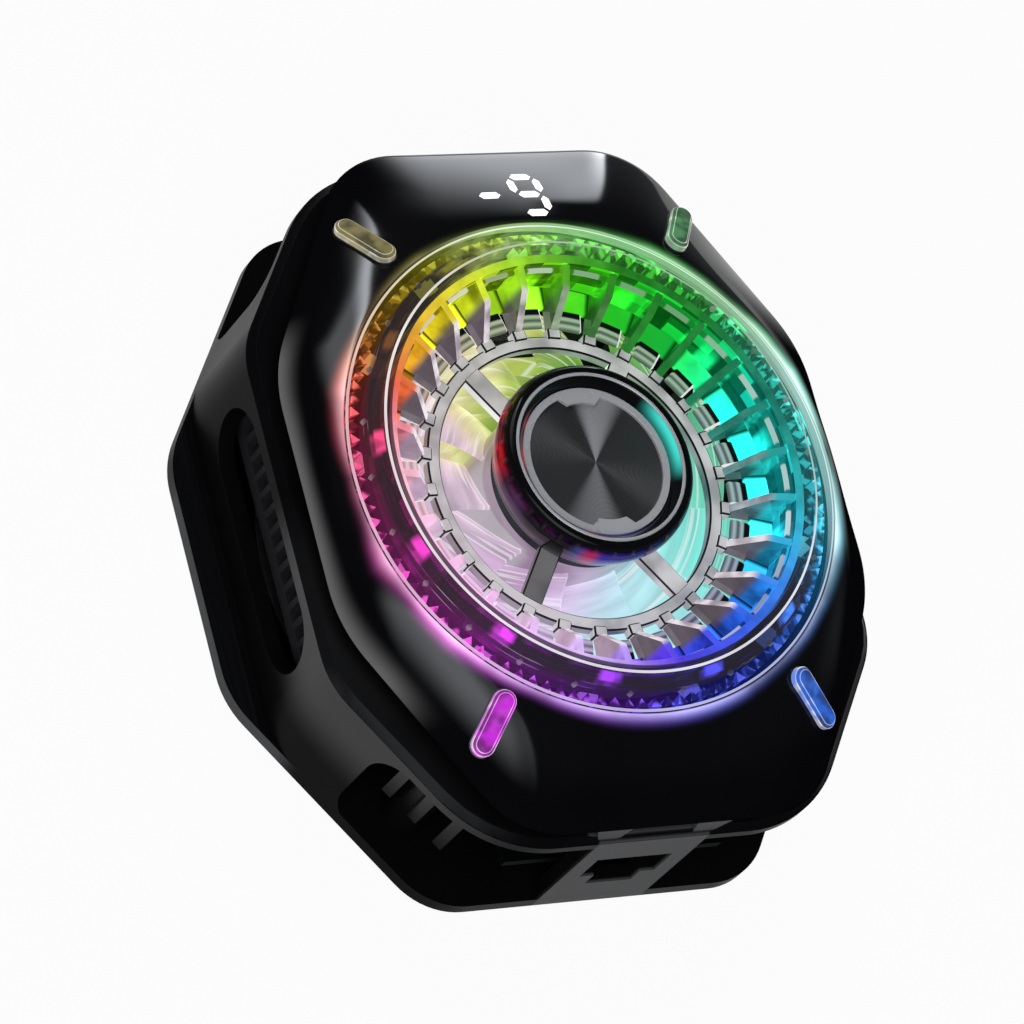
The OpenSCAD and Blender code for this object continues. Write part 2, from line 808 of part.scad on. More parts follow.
// A closed copper coil round each pole
module stator_windings() {
  start = tube_r + stator_hub_t + 0.15;
  depth = stator_r - pole_shoe_t - 0.15 - start;
  coil_w = pole_w + 1.2;
  color("chocolate") for (i = [0:pole_count - 1]) rotate([0, 0, i * 360 / pole_count])
    translate([start, 0, stator_z + stator_h / 2]) difference() {
      translate([0, -coil_w / 2, -stator_h / 2 - coil_h])
        cube([depth, coil_w, stator_h + 2 * coil_h]);
      translate([-eps, -pole_w / 2, -stator_h / 2]) cube([depth + 2 * eps, pole_w, stator_h]);
    }
}

// Fan rotor

function blend(a, b, t) = a + (b - a) * t;

// A point of a blade: u runs along the chord from -1 to 1, side is 1 on top and -1 below
function blade_point(t, u, side) =
  let (
    r = blend(blade_root_r, impeller_r, t),
    pitch = blend(blade_pitch_root, blade_pitch_tip, t),
    half_chord = (impeller_h / 2 - blade_margin) / sin(blade_pitch_root) * blend(1, 1.15, t),
    skin = (blade_skin + blade_belly * (1 - u * u)) / 2 * side,
    bow = blade_camber * half_chord * (1 - u * u) + skin,
    along = u * half_chord * cos(pitch) - bow * sin(pitch),
    up = u * half_chord * sin(pitch) + bow * cos(pitch),
    turn = along / r * 180 / PI + blade_sweep * t * t
  )
  [r * cos(turn), r * sin(turn), impeller_z + impeller_h / 2 + up];

// One twisted, cambered and swept blade
module blade() {
  ring = 2 * chord_points;
  last = (blade_sections - 1) * ring;
  points = [for (j = [0:blade_sections - 1], i = [0:ring - 1])
    let (
      k = i < chord_points ? i : ring - 1 - i,
      u = 2 * k / (chord_points - 1) - 1
    )
    blade_point(j / (blade_sections - 1), u, i < chord_points ? 1 : -1)];
  skin = [for (j = [0:blade_sections - 2], i = [0:ring - 1])
    let (a = j * ring + i, b = j * ring + (i + 1) % ring)
    each [[a, b, b + ring], [a, b + ring, a + ring]]];
  root = [for (i = [0:chord_points - 2])
    each [[i, ring - 1 - i, i + 1], [i + 1, ring - 1 - i, ring - 2 - i]]];
  tip = [for (f = root) [last + f[0], last + f[2], last + f[1]]];
  polyhedron(points, concat(skin, root, tip));
}

module impeller() {
  color("whitesmoke") {
    difference() {
      translate([0, 0, impeller_z]) cylinder(r = impeller_hub_r, h = impeller_h);
      translate([0, 0, impeller_z - eps]) cylinder(r = cup_in_r, h = cup_ceiling - impeller_z + eps);
      cylinder(r = shaft_r, h = impeller_top + eps);
    }
    translate([0, 0, boss_z]) tube(boss_r, shaft_r, boss_h + eps);
    for (i = [0:blade_count - 1]) rotate([0, 0, i * 360 / blade_count]) blade();
  }
}

module rotor_yoke() {
  color("silver") translate([0, 0, impeller_z + rotor_skirt])
    tube(cup_in_r, yoke_in_r, cup_ceiling - impeller_z - rotor_skirt);
}

module rotor_magnet() {
  color([0.2, 0.2, 0.22]) translate([0, 0, impeller_z + rotor_skirt])
    tube(yoke_in_r, rotor_magnet_in_r, boss_z - impeller_z - rotor_skirt);
}

module rotor_shaft() {
  foot = motor_plate_z + thrust_t + thrust_gap;
  color("silver") translate([0, 0, foot]) cylinder(r = shaft_r, h = impeller_top - foot);
}

module shaft_clip() {
  color("gray") translate([0, 0, clip_z]) tube(clip_r, shaft_r, clip_h);
}

// Frame, lights and guard

module mid_frame() {
  color([0.03, 0.03, 0.035]) difference() {
    union() {
      translate([0, 0, housing_top]) linear_extrude(neck_h) cover_outline(neck_in);
      translate([0, 0, housing_top - duct_skirt]) cylinder(r = duct_r + duct_wall, h = duct_skirt);
    }
    translate([0, 0, housing_top - duct_skirt - eps]) cylinder(r = duct_r, h = duct_skirt + neck_h + 1);
    four_corners(cover_screw_xy) translate([0, 0, housing_top - eps])
      cylinder(r = screw_r + seat, h = neck_h + 2 * eps);
  }
}

module cover_screws() {
  color("silver") four_corners(cover_screw_xy) translate([0, 0, deck_z])
    screw(deck_t + neck_h + cover_screw_bite);
}

module led_board() {
  color("white") translate([0, 0, led_board_z]) linear_extrude(led_board_t) difference() {
    union() {
      circle(led_board_r);
      for (a = spoke_angles) rotate([0, 0, a])
        translate([ring_r, -led_arm_w / 2]) square([led_arm_r - ring_r, led_arm_w]);
    }
    circle(lens_in_r);
  }
}

module ring_leds() {
  count = vane_count / 2;
  color("lightyellow") {
    for (i = [0:count - 1]) rotate([0, 0, 90 + i * 360 / count])
      translate([led_r - led_size / 2, -led_size / 2, led_top]) cube([led_size, led_size, led_h]);
    for (a = spoke_angles) rotate([0, 0, a])
      translate([bar_led_r, -bar_led_size / 2, led_top])
        cube([bar_led_size, bar_led_size, bar_led_h]);
  }
}

module fan_guard() {
  color([0.85, 0.9, 0.95, 0.5]) {
    translate([0, 0, cover_z]) tube(guard_r, guard_r - guard_wall_t, shoulder_z - cover_z);
    translate([0, 0, floor_z]) tube(guard_r - guard_wall_t / 2, floor_in_r, floor_t);
    translate([0, 0, rib_z]) tube(guard_r - guard_wall_t / 2, guard_r - guard_wall_t - rib_w, rib_h);
    translate([0, 0, eye_z]) tube(eye_out_r, eye_r, eye_h);
    translate([0, 0, eye_z]) cylinder(r = hub_plate_r, h = hub_plate_h);
    for (i = [0:vane_count - 1]) rotate([0, 0, 90 + (i + 0.5) * vane_pitch]) {
      vane();
      translate([eye_out_r - 0.4, -block_w / 2, eye_z]) cube([block_l, block_w, eye_h + block_rise]);
    }
    for (i = [0:vane_count - 1]) rotate([0, 0, 90 + i * vane_pitch])
      translate([floor_in_r - tongue_l, -tongue_w / 2, floor_z]) cube([tongue_l + 0.4, tongue_w, floor_t]);
    for (a = spoke_angles) rotate([0, 0, a])
      translate([hub_plate_r - 0.6, -spoke_w / 2, eye_z])
        cube([eye_r - hub_plate_r + 1.2, spoke_w, eye_h]);
  }
}

// An upright plate whose top edge rises steeply to a knee and then leans out to the rim
module vane() {
  wall_r = guard_r - guard_wall_t / 2;
  rotate([90, 0, 0]) linear_extrude(vane_t, center = true) polygon([
    [eye_out_r - 0.3, eye_z], [eye_out_r - 0.3, eye_top], [eye_out_r + 0.3, eye_top],
    [knee_r, knee_z], [wall_r, shoulder_z - 0.2], [wall_r, floor_z]]);
}

module lens_ring() {
  roof = lens_wall * 1.1;
  color([0.9, 0.92, 0.95, 0.45]) rotate_extrude() polygon([
    [lens_in_r, led_top], [lens_in_r, rim_z - 0.3], [lens_in_r + 0.3, rim_z], [rim_r, rim_z],
    [ring_r, ring_z], [ring_r, led_top + lens_lip_h], [ring_r + lens_lip, led_top + lens_lip_h],
    [ring_r + lens_lip, led_top], [ring_r - lens_wall, led_top], [ring_r - lens_wall, ring_z - roof],
    [rim_r, rim_z - roof], [rim_r, led_top]]);
}

// Hub

module hub_cap() {
  side = hub_r - hub_plate_r;
  groove_r = trim_r + trim_w / 2;
  color([0.02, 0.02, 0.025]) rotate_extrude() polygon(concat(
    [[0, hub_plate_top], [hub_plate_r, hub_plate_top]],
    [for (a = [0:15:90])
      [hub_r - (hub_r - groove_r - hub_rim_w) * (1 - cos(a)) * 0.9,
       hub_belly_z + (hub_rim_z - hub_belly_z) * sin(a) - (a == 90 ? 0 : side * 0.1)]],
    [[groove_r, hub_rim_z], [groove_r, hub_rim_z - trim_h], [groove_r - trim_w, hub_rim_z - trim_h],
     [groove_r - trim_w, hub_rim_z - 0.1], [badge_r + seat, badge_z + badge_disc_t + badge_ring_t - 0.1],
     [badge_r + seat, badge_z], [0, badge_z]]));
}

module hub_trim_ring() {
  color("silver") translate([0, 0, hub_rim_z - trim_h])
    tube(trim_r + trim_w / 2, trim_r - trim_w / 2, trim_h);
}

module badge_disc() {
  color([0.25, 0.25, 0.26]) translate([0, 0, badge_z]) cylinder(r = badge_r, h = badge_disc_t);
}

// Bright ring with a flared tab reaching inwards at top and bottom
module badge_ring() {
  in_r = badge_r - badge_ring_w;
  color("silver") translate([0, 0, badge_z + badge_disc_t]) linear_extrude(badge_ring_t) {
    difference() {
      circle(badge_r);
      circle(in_r);
    }
    for (a = [0, 180]) rotate([0, 0, a]) polygon([
      [-tab_w / 2, in_r - tab_depth], [tab_w / 2, in_r - tab_depth],
      [tab_w / 2 + tab_flare, in_r + 0.1], [-tab_w / 2 - tab_flare, in_r + 0.1]]);
  }
}

// Front cover and what shows in it

// Crowned form that runs from the ring's round lip out to the eight-sided edge
module cover_dome(skin) {
  hull() {
    $fn = hull_fn;
    translate([0, 0, ring_z - skin - eps]) cylinder(r = cover_lip_r, h = eps, $fn = 2 * hull_fn);
    for (a = crown_steps)
      slice(crown_z + crown_rise * sin(a) - skin * sin(a)) cover_outline(skin + crown_in * (1 - cos(a)));
    slice(cover_z - (skin > 0 ? eps : 0)) cover_outline(skin + crown_lap);
  }
}

module front_cover() {
  color([0.015, 0.015, 0.02]) difference() {
    union() {
      difference() {
        cover_dome(0);
        cover_dome(cover_wall);
      }
      intersection() {
        four_corners(cover_screw_xy) translate([0, 0, cover_z]) cylinder(r = cover_post_r, h = cover_h);
        cover_dome(0);
      }
    }
    cylinder(r = ring_r + seat, h = ring_z + 1);
    at_bars() bar_solid(seat / 2);
    readout(seat / 2);
    four_corners(cover_screw_xy) translate([0, 0, cover_z - eps])
      cylinder(r = screw_r + eps, h = cover_screw_bite + 0.1);
  }
}

// Places a child on the cover's slope at each of the four bars
module at_bars() {
  for (a = spoke_angles) rotate([0, 0, a])
    translate([bar_r, 0, bar_z]) rotate([0, atan(bar_slope), 0]) children();
}

// A round-ended pip with a bevelled top
module bar_solid(play) {
  l = bar_l + 2 * play;
  w = bar_w + 2 * play;
  translate([0, 0, -bar_depth]) linear_extrude(bar_depth + bar_proud - bar_chamfer) stadium(l, w);
  translate([0, 0, bar_proud - bar_chamfer - eps]) {
    for (s = [-1, 1]) translate([s * (l - w) / 2, 0, 0])
      cylinder(r1 = w / 2, r2 = w / 2 - bar_chamfer, h = bar_chamfer + eps);
    rotate([90, 0, 90]) linear_extrude(l - w, center = true) polygon([
      [-w / 2, 0], [w / 2, 0],
      [w / 2 - bar_chamfer, bar_chamfer + eps], [-w / 2 + bar_chamfer, bar_chamfer + eps]]);
  }
}

module light_bars() {
  color([0.8, 0.75, 0.9, 0.7]) at_bars() bar_solid(0);
}

// A pointed segment bar along X
module segment(l, play) {
  w = segment_w / 2 + play;
  h = l / 2 + play;
  polygon([[-h, 0], [-h + w, -w], [h - w, -w], [h, 0], [h - w, w], [-h + w, w]]);
}

// The lit segments of a minus sign and a nine, as upright prisms
module readout(play) {
  across = digit_w - segment_gap;
  upright = digit_h / 2 - segment_gap;
  translate([readout_x, readout_y, led_board_z + readout_board_t]) linear_extrude(cover_h) {
    translate([-digit_pitch / 2, 0]) segment(across, play);
    translate([digit_pitch / 2, 0]) {
      for (i = [-1:1]) translate([0, i * digit_h / 2]) segment(across, play);
      for (p = [[-1, 1], [1, 1], [1, -1]])
        translate([p[0] * digit_w / 2, p[1] * digit_h / 4]) rotate([0, 0, 90]) segment(upright, play);
    }
  }
}

module display_segments() {
  color("white") intersection() {
    readout(0);
    cover_dome(0);
  }
}

module display_board() {
  board_x = digit_pitch + digit_w + 2 * readout_margin;
  near_y = led_board_r + 2 * seat;
  far_y = readout_y + digit_h / 2;
  color("black") translate([readout_x - board_x / 2, near_y, led_board_z])
    cube([board_x, far_y - near_y, readout_board_t]);
}

contact_pad();
cold_plate();
peltier_module();
foam_gasket();
magnets();
magnet_backing_ring();
base_plate();
base_screws();
rear_housing();
heat_sink();
sink_screws();
control_board();
board_chips();
board_screws();
usb_receptacle();
usb_tongue();
motor_base();
motor_board();
bearing_sleeve();
stator_core();
stator_windings();
impeller();
rotor_yoke();
rotor_magnet();
rotor_shaft();
shaft_clip();
mid_frame();
cover_screws();
led_board();
ring_leds();
fan_guard();
lens_ring();
hub_cap();
hub_trim_ring();
badge_ring();
badge_disc();
front_cover();
light_bars();
display_board();
display_segments();
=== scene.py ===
# %% [markdown]
# # Dressing a phone cooling fan
# The cooler lies on its back: a cold plate underneath, a finned heat sink in the middle and a fan
# on top, behind a clear guard that is lit in every colour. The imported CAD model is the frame. It
# gives every piece its place, so the pieces made here only add form and finish.

# %% Load the frame
import json
import math

import bmesh
import bpy
import numpy as np
from mathutils import Matrix, Vector


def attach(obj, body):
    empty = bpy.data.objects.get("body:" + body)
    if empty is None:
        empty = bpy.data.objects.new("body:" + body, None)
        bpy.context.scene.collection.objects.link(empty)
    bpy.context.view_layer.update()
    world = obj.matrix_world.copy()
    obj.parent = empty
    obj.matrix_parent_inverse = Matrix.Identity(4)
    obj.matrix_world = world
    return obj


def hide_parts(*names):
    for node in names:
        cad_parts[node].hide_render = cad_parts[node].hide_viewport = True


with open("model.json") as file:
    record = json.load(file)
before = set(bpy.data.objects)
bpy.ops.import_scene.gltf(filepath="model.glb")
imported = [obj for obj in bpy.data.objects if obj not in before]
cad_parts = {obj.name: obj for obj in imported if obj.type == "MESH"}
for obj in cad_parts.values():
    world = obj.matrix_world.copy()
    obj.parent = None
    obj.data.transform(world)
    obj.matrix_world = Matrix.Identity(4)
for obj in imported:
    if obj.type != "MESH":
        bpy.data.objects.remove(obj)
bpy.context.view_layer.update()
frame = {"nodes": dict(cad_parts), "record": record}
cad = frame["nodes"]
scene = bpy.context.scene
scene.view_settings.view_transform = "Standard"
print("nodes in the frame:", len(cad))

# %% [markdown]
# ## Sizes
# All lengths are written in millimetres, as on a drawing, and become metres when a mesh is made.
# They are the CAD model's own sizes, repeated because this script reads no other file. Only the
# ring's outer edge and the cover's lip sit a little lower, and the hub's foot is a little slimmer.

# %% Sizes of the visible pieces
MM = 0.001
RING_R, RIM_R, LENS_IN_R = 27.0, 23.9, 23.0
RING_Z, EDGE_Z, RIM_Z, COVER_Z, BOARD_TOP = 25.4, 24.75, 27.3, 19.9, 20.9
GUARD_R, GUARD_IN_R, GUARD_TOP = 22.9, 22.05, 26.2
EYE_R, EYE_OUT_R, EYE_Z, EYE_TOP = 15.0, 16.4, 19.6, 20.7
HUB_PLATE_R, HUB_PLATE_TOP, CAP_BASE_R, HUB_R = 9.0, 21.2, 9.5, 10.7
VANES, VANE_T, KNEE_R, KNEE_Z = 26, 0.8, 19.7, 25.0
FLOOR_IN_R, FLOOR_Z, FLOOR_T = 19.6, 20.0, 0.6
LAMPS = 13
SPOKES = [math.radians(a) for a in (55.4, 124.6, 235.4, 304.6)]
PITCH = 2 * math.pi / VANES
print("vane pitch in degrees:", round(math.degrees(PITCH), 2))

# %% [markdown]
# ## Camera
# The photograph looks down on the lying cooler with the camera rolled, from far away through a
# long lens. A target point, two angles and a roll describe that better than a matrix would. The
# camera is then moved sideways in its own picture plane until the ring sits where it should.

# %% Camera
AZIMUTH, ELEVATION, ROLL = math.radians(216.2), math.radians(53.73), math.radians(44.27)
DISTANCE, LENS = 0.618, 217.0
RING_PIXEL, FRAME_PX, SENSOR = (596.3, 461.8), 1024, 36.0

back = Vector((math.cos(ELEVATION) * math.cos(AZIMUTH),
               math.cos(ELEVATION) * math.sin(AZIMUTH), math.sin(ELEVATION)))
level = Vector((0, 0, 1)).cross(back).normalized()
upright = back.cross(level)
right = level * math.cos(ROLL) + upright * math.sin(ROLL)
up = back.cross(right)
per_pixel = DISTANCE * SENSOR / LENS / FRAME_PX
eye_point = (Vector((0, 0, RING_Z * MM)) + back * DISTANCE
             - right * (RING_PIXEL[0] - FRAME_PX / 2) * per_pixel
             + up * (RING_PIXEL[1] - FRAME_PX / 2) * per_pixel)
camera_data = bpy.data.cameras.new("camera")
camera_data.lens, camera_data.sensor_width = LENS, SENSOR
camera_data.clip_start, camera_data.clip_end = 0.01, 20
camera = bpy.data.objects.new("camera", camera_data)
camera.matrix_world = Matrix.Translation(eye_point) @ Matrix((right, up, back)).transposed().to_4x4()
scene.collection.objects.link(camera)
scene.camera = camera
print("camera at", [round(v, 3) for v in eye_point])

# %% [markdown]
# ## A small language for nodes
# Node trees could be drawn by hand, one link at a time. Here a socket is wrapped so that Python's
# own signs make Math nodes, which lets a pattern be read as a formula. Every other node comes from
# one method, `make`, which sets the node's settings first and then its sockets.


# %% Wires and nets
class Wire:
    """One output socket, which can be added, multiplied and so on."""

    def __init__(self, net, socket):
        self.net, self.socket = net, socket

    def math(self, operation, *values):
        return self.net.make("ShaderNodeMath", {"operation": operation}, dict(enumerate(values)))

    def take(self, operation):
        """A Math node of this wire alone, such as its sine."""
        return self.math(operation, self)

    def __getitem__(self, name):
        return Wire(self.net, self.socket.node.outputs[name])

    def __add__(self, other):
        return self.math("ADD", self, other)

    def __sub__(self, other):
        return self.math("SUBTRACT", self, other)

    def __rsub__(self, other):
        return self.math("SUBTRACT", other, self)

    def __mul__(self, other):
        return self.math("MULTIPLY", self, other)

    def __truediv__(self, other):
        return self.math("DIVIDE", self, other)

    def __pow__(self, other):
        return self.math("POWER", self, other)

    __radd__, __rmul__ = __add__, __mul__


class Net:
    """A node tree that is being made."""

    def __init__(self, tree):
        self.tree = tree

    def make(self, kind, settings=None, values=None, out=0):
        node = self.tree.nodes.new(kind)
        for key, value in (settings or {}).items():
            if key == "stops":
                ramp = node.color_ramp.elements
                ramp.remove(ramp[1])
                ramp[0].position = value[0][0]
                for at, _ in value[1:]:
                    ramp.new(at)
                for stop, (_, colour) in zip(ramp, value):
                    stop.color = (*colour, 1)
            else:
                setattr(node, key, value)
        for key, value in (values or {}).items():
            if isinstance(value, Wire):
                self.tree.links.new(value.socket, node.inputs[key])
            else:
                node.inputs[key].default_value = value
        return Wire(self, node.outputs[out]) if len(node.outputs) else None

    def mix(self, factor, a, b, how="MIX"):
        a, b = [(*c, 1) if isinstance(c, tuple) else c for c in (a, b)]
        return self.make("ShaderNodeMix", {"data_type": "RGBA", "blend_type": how},
                         {0: factor, 6: a, 7: b}, 2)

    def step(self, value, low, high):
        return self.make("ShaderNodeMapRange", {"interpolation_type": "SMOOTHSTEP"},
                         {"Value": value, "From Min": low, "From Max": high})

    def noise(self, vector, scale, detail=2.0):
        return self.make("ShaderNodeTexNoise", None,
                         {"Vector": vector, "Scale": scale, "Detail": detail})

    def ramp(self, factor, *stops):
        return self.make("ShaderNodeValToRGB", {"stops": stops}, {"Fac": factor})

    def vector(self, x=0, y=0, z=0):
        return self.make("ShaderNodeCombineXYZ", None, {0: x, 1: y, 2: z})

    def colour(self, red, green, blue):
        return self.make("ShaderNodeCombineColor", None, {0: red, 1: green, 2: blue})

    def scale(self, colour, value):
        return self.make("ShaderNodeVectorMath", {"operation": "SCALE"}, {0: colour, "Scale": value})

    def bump(self, strength, depth, height):
        return self.make("ShaderNodeBump", None,
                         {"Strength": strength, "Distance": depth, "Height": height})


def start(name):
    """A new empty material's net and its Object coordinates."""
    material = bpy.data.materials.new(name)
    material.use_nodes = True
    material.node_tree.nodes.clear()
    net = Net(material.node_tree)
    net.material = material
    return net, net.make("ShaderNodeTexCoord", None, None, "Object")


def close_lit(net, colour, alpha=1.0, rough=0.15):
    """Ends a lit clear material: its own light, and only a faint gloss over it."""
    return close(net, {
        "Base Color": (0, 0, 0, 1), "Roughness": rough, "Specular IOR Level": 0.03, "Alpha": alpha,
        "Emission Color": colour, "Emission Strength": 1.0})


def close(net, sockets):
    """Ends a material in one Principled shader with these values and links."""
    return show(net, net.make("ShaderNodeBsdfPrincipled", None, sockets))


def close_two(net, sockets, levels, shine):
    """Ends a material in two Principled shaders of different gloss; shine says where the second is."""
    dull, bright = (net.make("ShaderNodeBsdfPrincipled", None, {**sockets, "Specular IOR Level": level})
                    for level in levels)
    return show(net, net.make("ShaderNodeMixShader", None, {0: shine, 1: dull, 2: bright}))


def show(net, surface):
    net.make("ShaderNodeOutputMaterial", None, {"Surface": surface})
    return net.material


def start_round(name):
    """As start, and the angle about the fan's axis, the radius and the height in millimetres."""
    net, place = start(name)
    axis = net.make("ShaderNodeSeparateXYZ", None, {0: place})
    x, y = axis["X"], axis["Y"]
    return net, place, x.math("ARCTAN2", y, x), (x * x + y * y) ** 0.5 * 1000, axis["Z"] * 1000


def across_along(angle, radius):
    """X and Y of a place, in the radius's own unit."""
    return radius * angle.take("COSINE"), radius * angle.take("SINE")


# The light ring's colours by turns from -X: red, magenta, violet, blue, cyan, green, yellow, gold.
RING_COLOURS = (
    (0.0, (1, 0.03, 0.3)), (0.056, (1, 0.01, 0.6)), (0.111, (1, 0.01, 0.92)), (0.167, (0.6, 0.01, 1)),
    (0.222, (0.3, 0.01, 1)), (0.278, (0.05, 0.03, 1)), (0.333, (0.01, 0.1, 1)), (0.389, (0.01, 0.28, 1)),
    (0.444, (0.01, 0.75, 1)), (0.5, (0.01, 1, 0.92)), (0.556, (0, 1, 0.65)), (0.585, (0, 1, 0.3)),
    (0.62, (0, 1, 0.08)), (0.68, (0.02, 1, 0.01)), (0.722, (0.12, 1, 0)), (0.778, (0.5, 1, 0)),
    (0.833, (1, 0.92, 0)), (0.889, (1, 0.45, 0)), (0.93, (1, 0.12, 0.03)), (0.96, (1, 0.03, 0.12)),
    (1.0, (1, 0.03, 0.3)))


def turns_from_left(angle):
    """An angle as a share of one turn, counted from -X."""
    return (angle / (2 * math.pi) + 0.5).take("FRACT")


def rainbow(net, angle, saturation, value):
    """The light ring's colour at an angle, washed out and dimmed as asked."""
    colour = net.mix(saturation, (1, 1, 1), net.ramp(turns_from_left(angle), *RING_COLOURS))
    return net.scale(colour, value)


def toward(net, angle, degrees, low, high):
    """1 where an angle is near a heading, 0 away from it; low and high are cosines."""
    return net.step((angle - math.radians(degrees)).take("COSINE"), low, high)


print("node helpers ready")

# %% [markdown]
# ## Black plastics
# The front cover is piano black: almost no colour of its own, only reflections and, close to the
# ring, a little of the ring's light, painted on as glow, with a painted sheen along its left flank.
# The body behind it is moulded in satin black, with a fine spark-eroded grain that breaks its
# reflections up. Both are formulas on Object coordinates.


# %% Piano black and satin black
# How strongly the ring's light is painted on the cover as glow, by turns from -X.
PAINTED_GLOW_BY_TURN = (
    (0.0, 0.14), (0.03, 0.32), (0.056, 0.95), (0.08, 0.6), (0.111, 0.85), (0.167, 0.42), (0.222, 0.7),
    (0.278, 0.62), (0.333, 0.36), (0.389, 0.36), (0.444, 0.75), (0.5, 0.14), (0.556, 0.88), (0.611, 0.25),
    (0.667, 0.36), (0.722, 0.1), (0.778, 0.03), (0.833, 0.16), (0.889, 0.1), (0.944, 0.78), (1.0, 0.14))


def piano_black():
    """The cover: the ring's light painted on near the ring and a painted sheen on its left flank; elsewhere
    reflections, kept to where the cover is polished.
    """
    net, place, angle, radius, height = start_round("piano_black")
    x, y = across_along(angle, radius)
    patchy = net.step(net.noise(place, 130, 2), 0.3, 0.7)
    strength = net.ramp(turns_from_left(angle), *((at, (level,) * 3) for at, level in PAINTED_GLOW_BY_TURN))
    # Painted glow of the ring's light on the cover: brightest at the ring, reaching out as far as the ramp
    # says.
    near = (1 - net.step(radius, RING_R - 0.3, strength * 1.8 + (RING_R + 1.2))) ** 2.1
    outside = net.step(radius, RING_R + 0.1, RING_R + 0.3) * 0.9 + 0.1
    far = toward(net, angle, 10, 0.55, 0.95)
    # A painted line of the ring's light along the lip, strongest at 45 degrees.
    lip = (1 - net.step(radius, RING_R + 0.2, RING_R + 0.36)) * toward(net, angle, 45, 0.2, 0.8)
    washed = 0.88 - near * 0.48 - far * 0.14
    painted_light_on_cover = rainbow(net, angle, washed, near * (0.9 + patchy * 1.6) * strength * outside + lip * 0.5)
    # A painted highlight (sheen) low on the cover's left flank, added to the painted glow.
    flank_end = net.step(y, 20, 14) * net.step(y, -26, -19)
    painted_flank_sheen = net.step(height, 22.6, 20.7) ** 1.4 * net.step(x, -18, -26) * flank_end * 0.11
    painted_light_on_cover = net.mix(1.0, painted_light_on_cover, net.colour(painted_flank_sheen, painted_flank_sheen, painted_flank_sheen), "ADD")
    smear = net.noise(place, 90)
    ink = net.mix(smear, (0.0025, 0.0025, 0.003), (0.005, 0.005, 0.006))
    polished = {"Base Color": ink, "Roughness": 0.035 + smear * 0.05, "Emission Color": painted_light_on_cover,
                "Emission Strength": 1.0}
    flank = net.step(x, -25.5, -28) * 0.9 + net.step(x, 22, 27) * 1.5
    kept, end = net.step(height - flank, 22.1, 24.0), net.step(y, 12, 24) * net.step(x, -16, -7)
    return close_two(net, polished, (0.0, 0.5), kept.math("MAXIMUM", kept, end))


def moulded(net, place, dark, pale, rough, grain, bump):
    """The sockets of a moulded surface: two broad tones and a fine grain."""
    fine, broad = net.noise(place, grain, 3), net.noise(place, 70)
    return {"Base Color": net.mix(broad, dark, pale), "Roughness": rough - 0.06 + broad * 0.12,
            "Normal": net.bump(bump, GRAIN_DEPTH, fine)}


def grained(name, dark, pale, rough, specular, grain, bump):
    net, place = start(name)
    sockets = moulded(net, place, dark, pale, rough, grain, bump)
    return close(net, {**sockets, "Specular IOR Level": specular})


def satin_black(name, tones, levels, edge):
    """The body: glossier on the port's left, dull behind, paler on the post's face, and with a painted
    highlight that makes the plinth paler.
    """
    net, place, angle, radius, height = start_round(name)
    x, y = across_along(angle, radius)
    sockets = moulded(net, place, *tones, 0.34, BODY_GRAIN, 0.18)
    if edge:
        shine = net.step(y, -30, -24)
    else:
        shine = toward(net, angle, 212, 0.8, 0.96) * net.step(height, 6, 14)
        ears = net.step(height, HOUSING_TOP - 0.3, HOUSING_TOP) * net.step(y, -34.5, -35.5)
        face = net.step(y, POST_Y + 0.4, POST_Y + 0.1)
        width = x.take("ABSOLUTE") - ears * EAR_FLARE
        post = net.step(width, POST_W / 2 + 0.1, POST_W / 2 - 0.2) * face.math("MAXIMUM", face, ears)
        # A painted highlight on the plinth's left face.
        plinth = net.step(height, BASE_T, BASE_T - 0.2) * net.step(x, -29, -31) * net.step(y, 14, 8)
        with_plinth = net.mix(plinth, sockets["Base Color"], (0.085, 0.085, 0.086))
        sockets["Base Color"] = net.mix(post, with_plinth, (0.07, 0.07, 0.071))
    return close_two(net, sockets, levels, shine)


POST_W, POST_Y, EAR_FLARE, HOUSING_TOP, BASE_T = 12.7, -37.5, 1.4, 17.7, 2.4
GRAIN_DEPTH, BODY_GRAIN = 0.00004, 5200
BODY_TONES = (0.0025, 0.0025, 0.003), (0.005, 0.005, 0.0055)
# The bevels' tones are a little paler than the body's: a painted highlight along the edges.
EDGE_TONES = (0.004, 0.004, 0.0045), (0.008, 0.008, 0.009)
NECK_TONES = (0.0015, 0.0015, 0.0018), (0.003, 0.003, 0.0035)
cover_finish = piano_black()
body_finish = satin_black("satin_black", BODY_TONES, (0.02, 0.3), False)
edge_finish = satin_black("satin_edge", EDGE_TONES, (0.0, 0.16), True)
frame_finish = grained("neck_black", *NECK_TONES, 0.42, 0.05, BODY_GRAIN, 0.15)
print("black plastics:", cover_finish.name, body_finish.name, frame_finish.name)

# %% [markdown]
# ## Lit clear plastic
# Light from the ring's lamps runs inside the clear pieces and leaves at their edges, so an edge is
# far brighter than a face. Real glass would need very many light bounces to show that. Here every
# clear piece glows by a formula of its angle and radius instead, and its edges have their own
# brighter finish.


# %% Finishes of the guard
def bay(angle):
    """0 in the middle of each bay between two vanes, 1 at a vane."""
    turns = (angle - math.pi / 2) / PITCH
    return turns.math("PINGPONG", turns, 0.5) * 2


def bay_chance(net, angle):
    """One random number from 0 to 1 for each bay."""
    turns = (angle - math.pi / 2) / PITCH + 0.5
    return net.make("ShaderNodeTexWhiteNoise", {"noise_dimensions": "1D"}, {"W": turns.take("FLOOR")})


def lamp_spot(net, angle):
    """1 beside each of the ring's lamps, 0 between them."""
    return net.step(((angle - math.pi / 2) * LAMPS).take("COSINE"), 0.7, 0.95)


def edge_light(net, angle):
    """How strongly edges shine: little on the readout's right, fully on the port's left."""
    return toward(net, angle, 38, 0.98, 0.25)


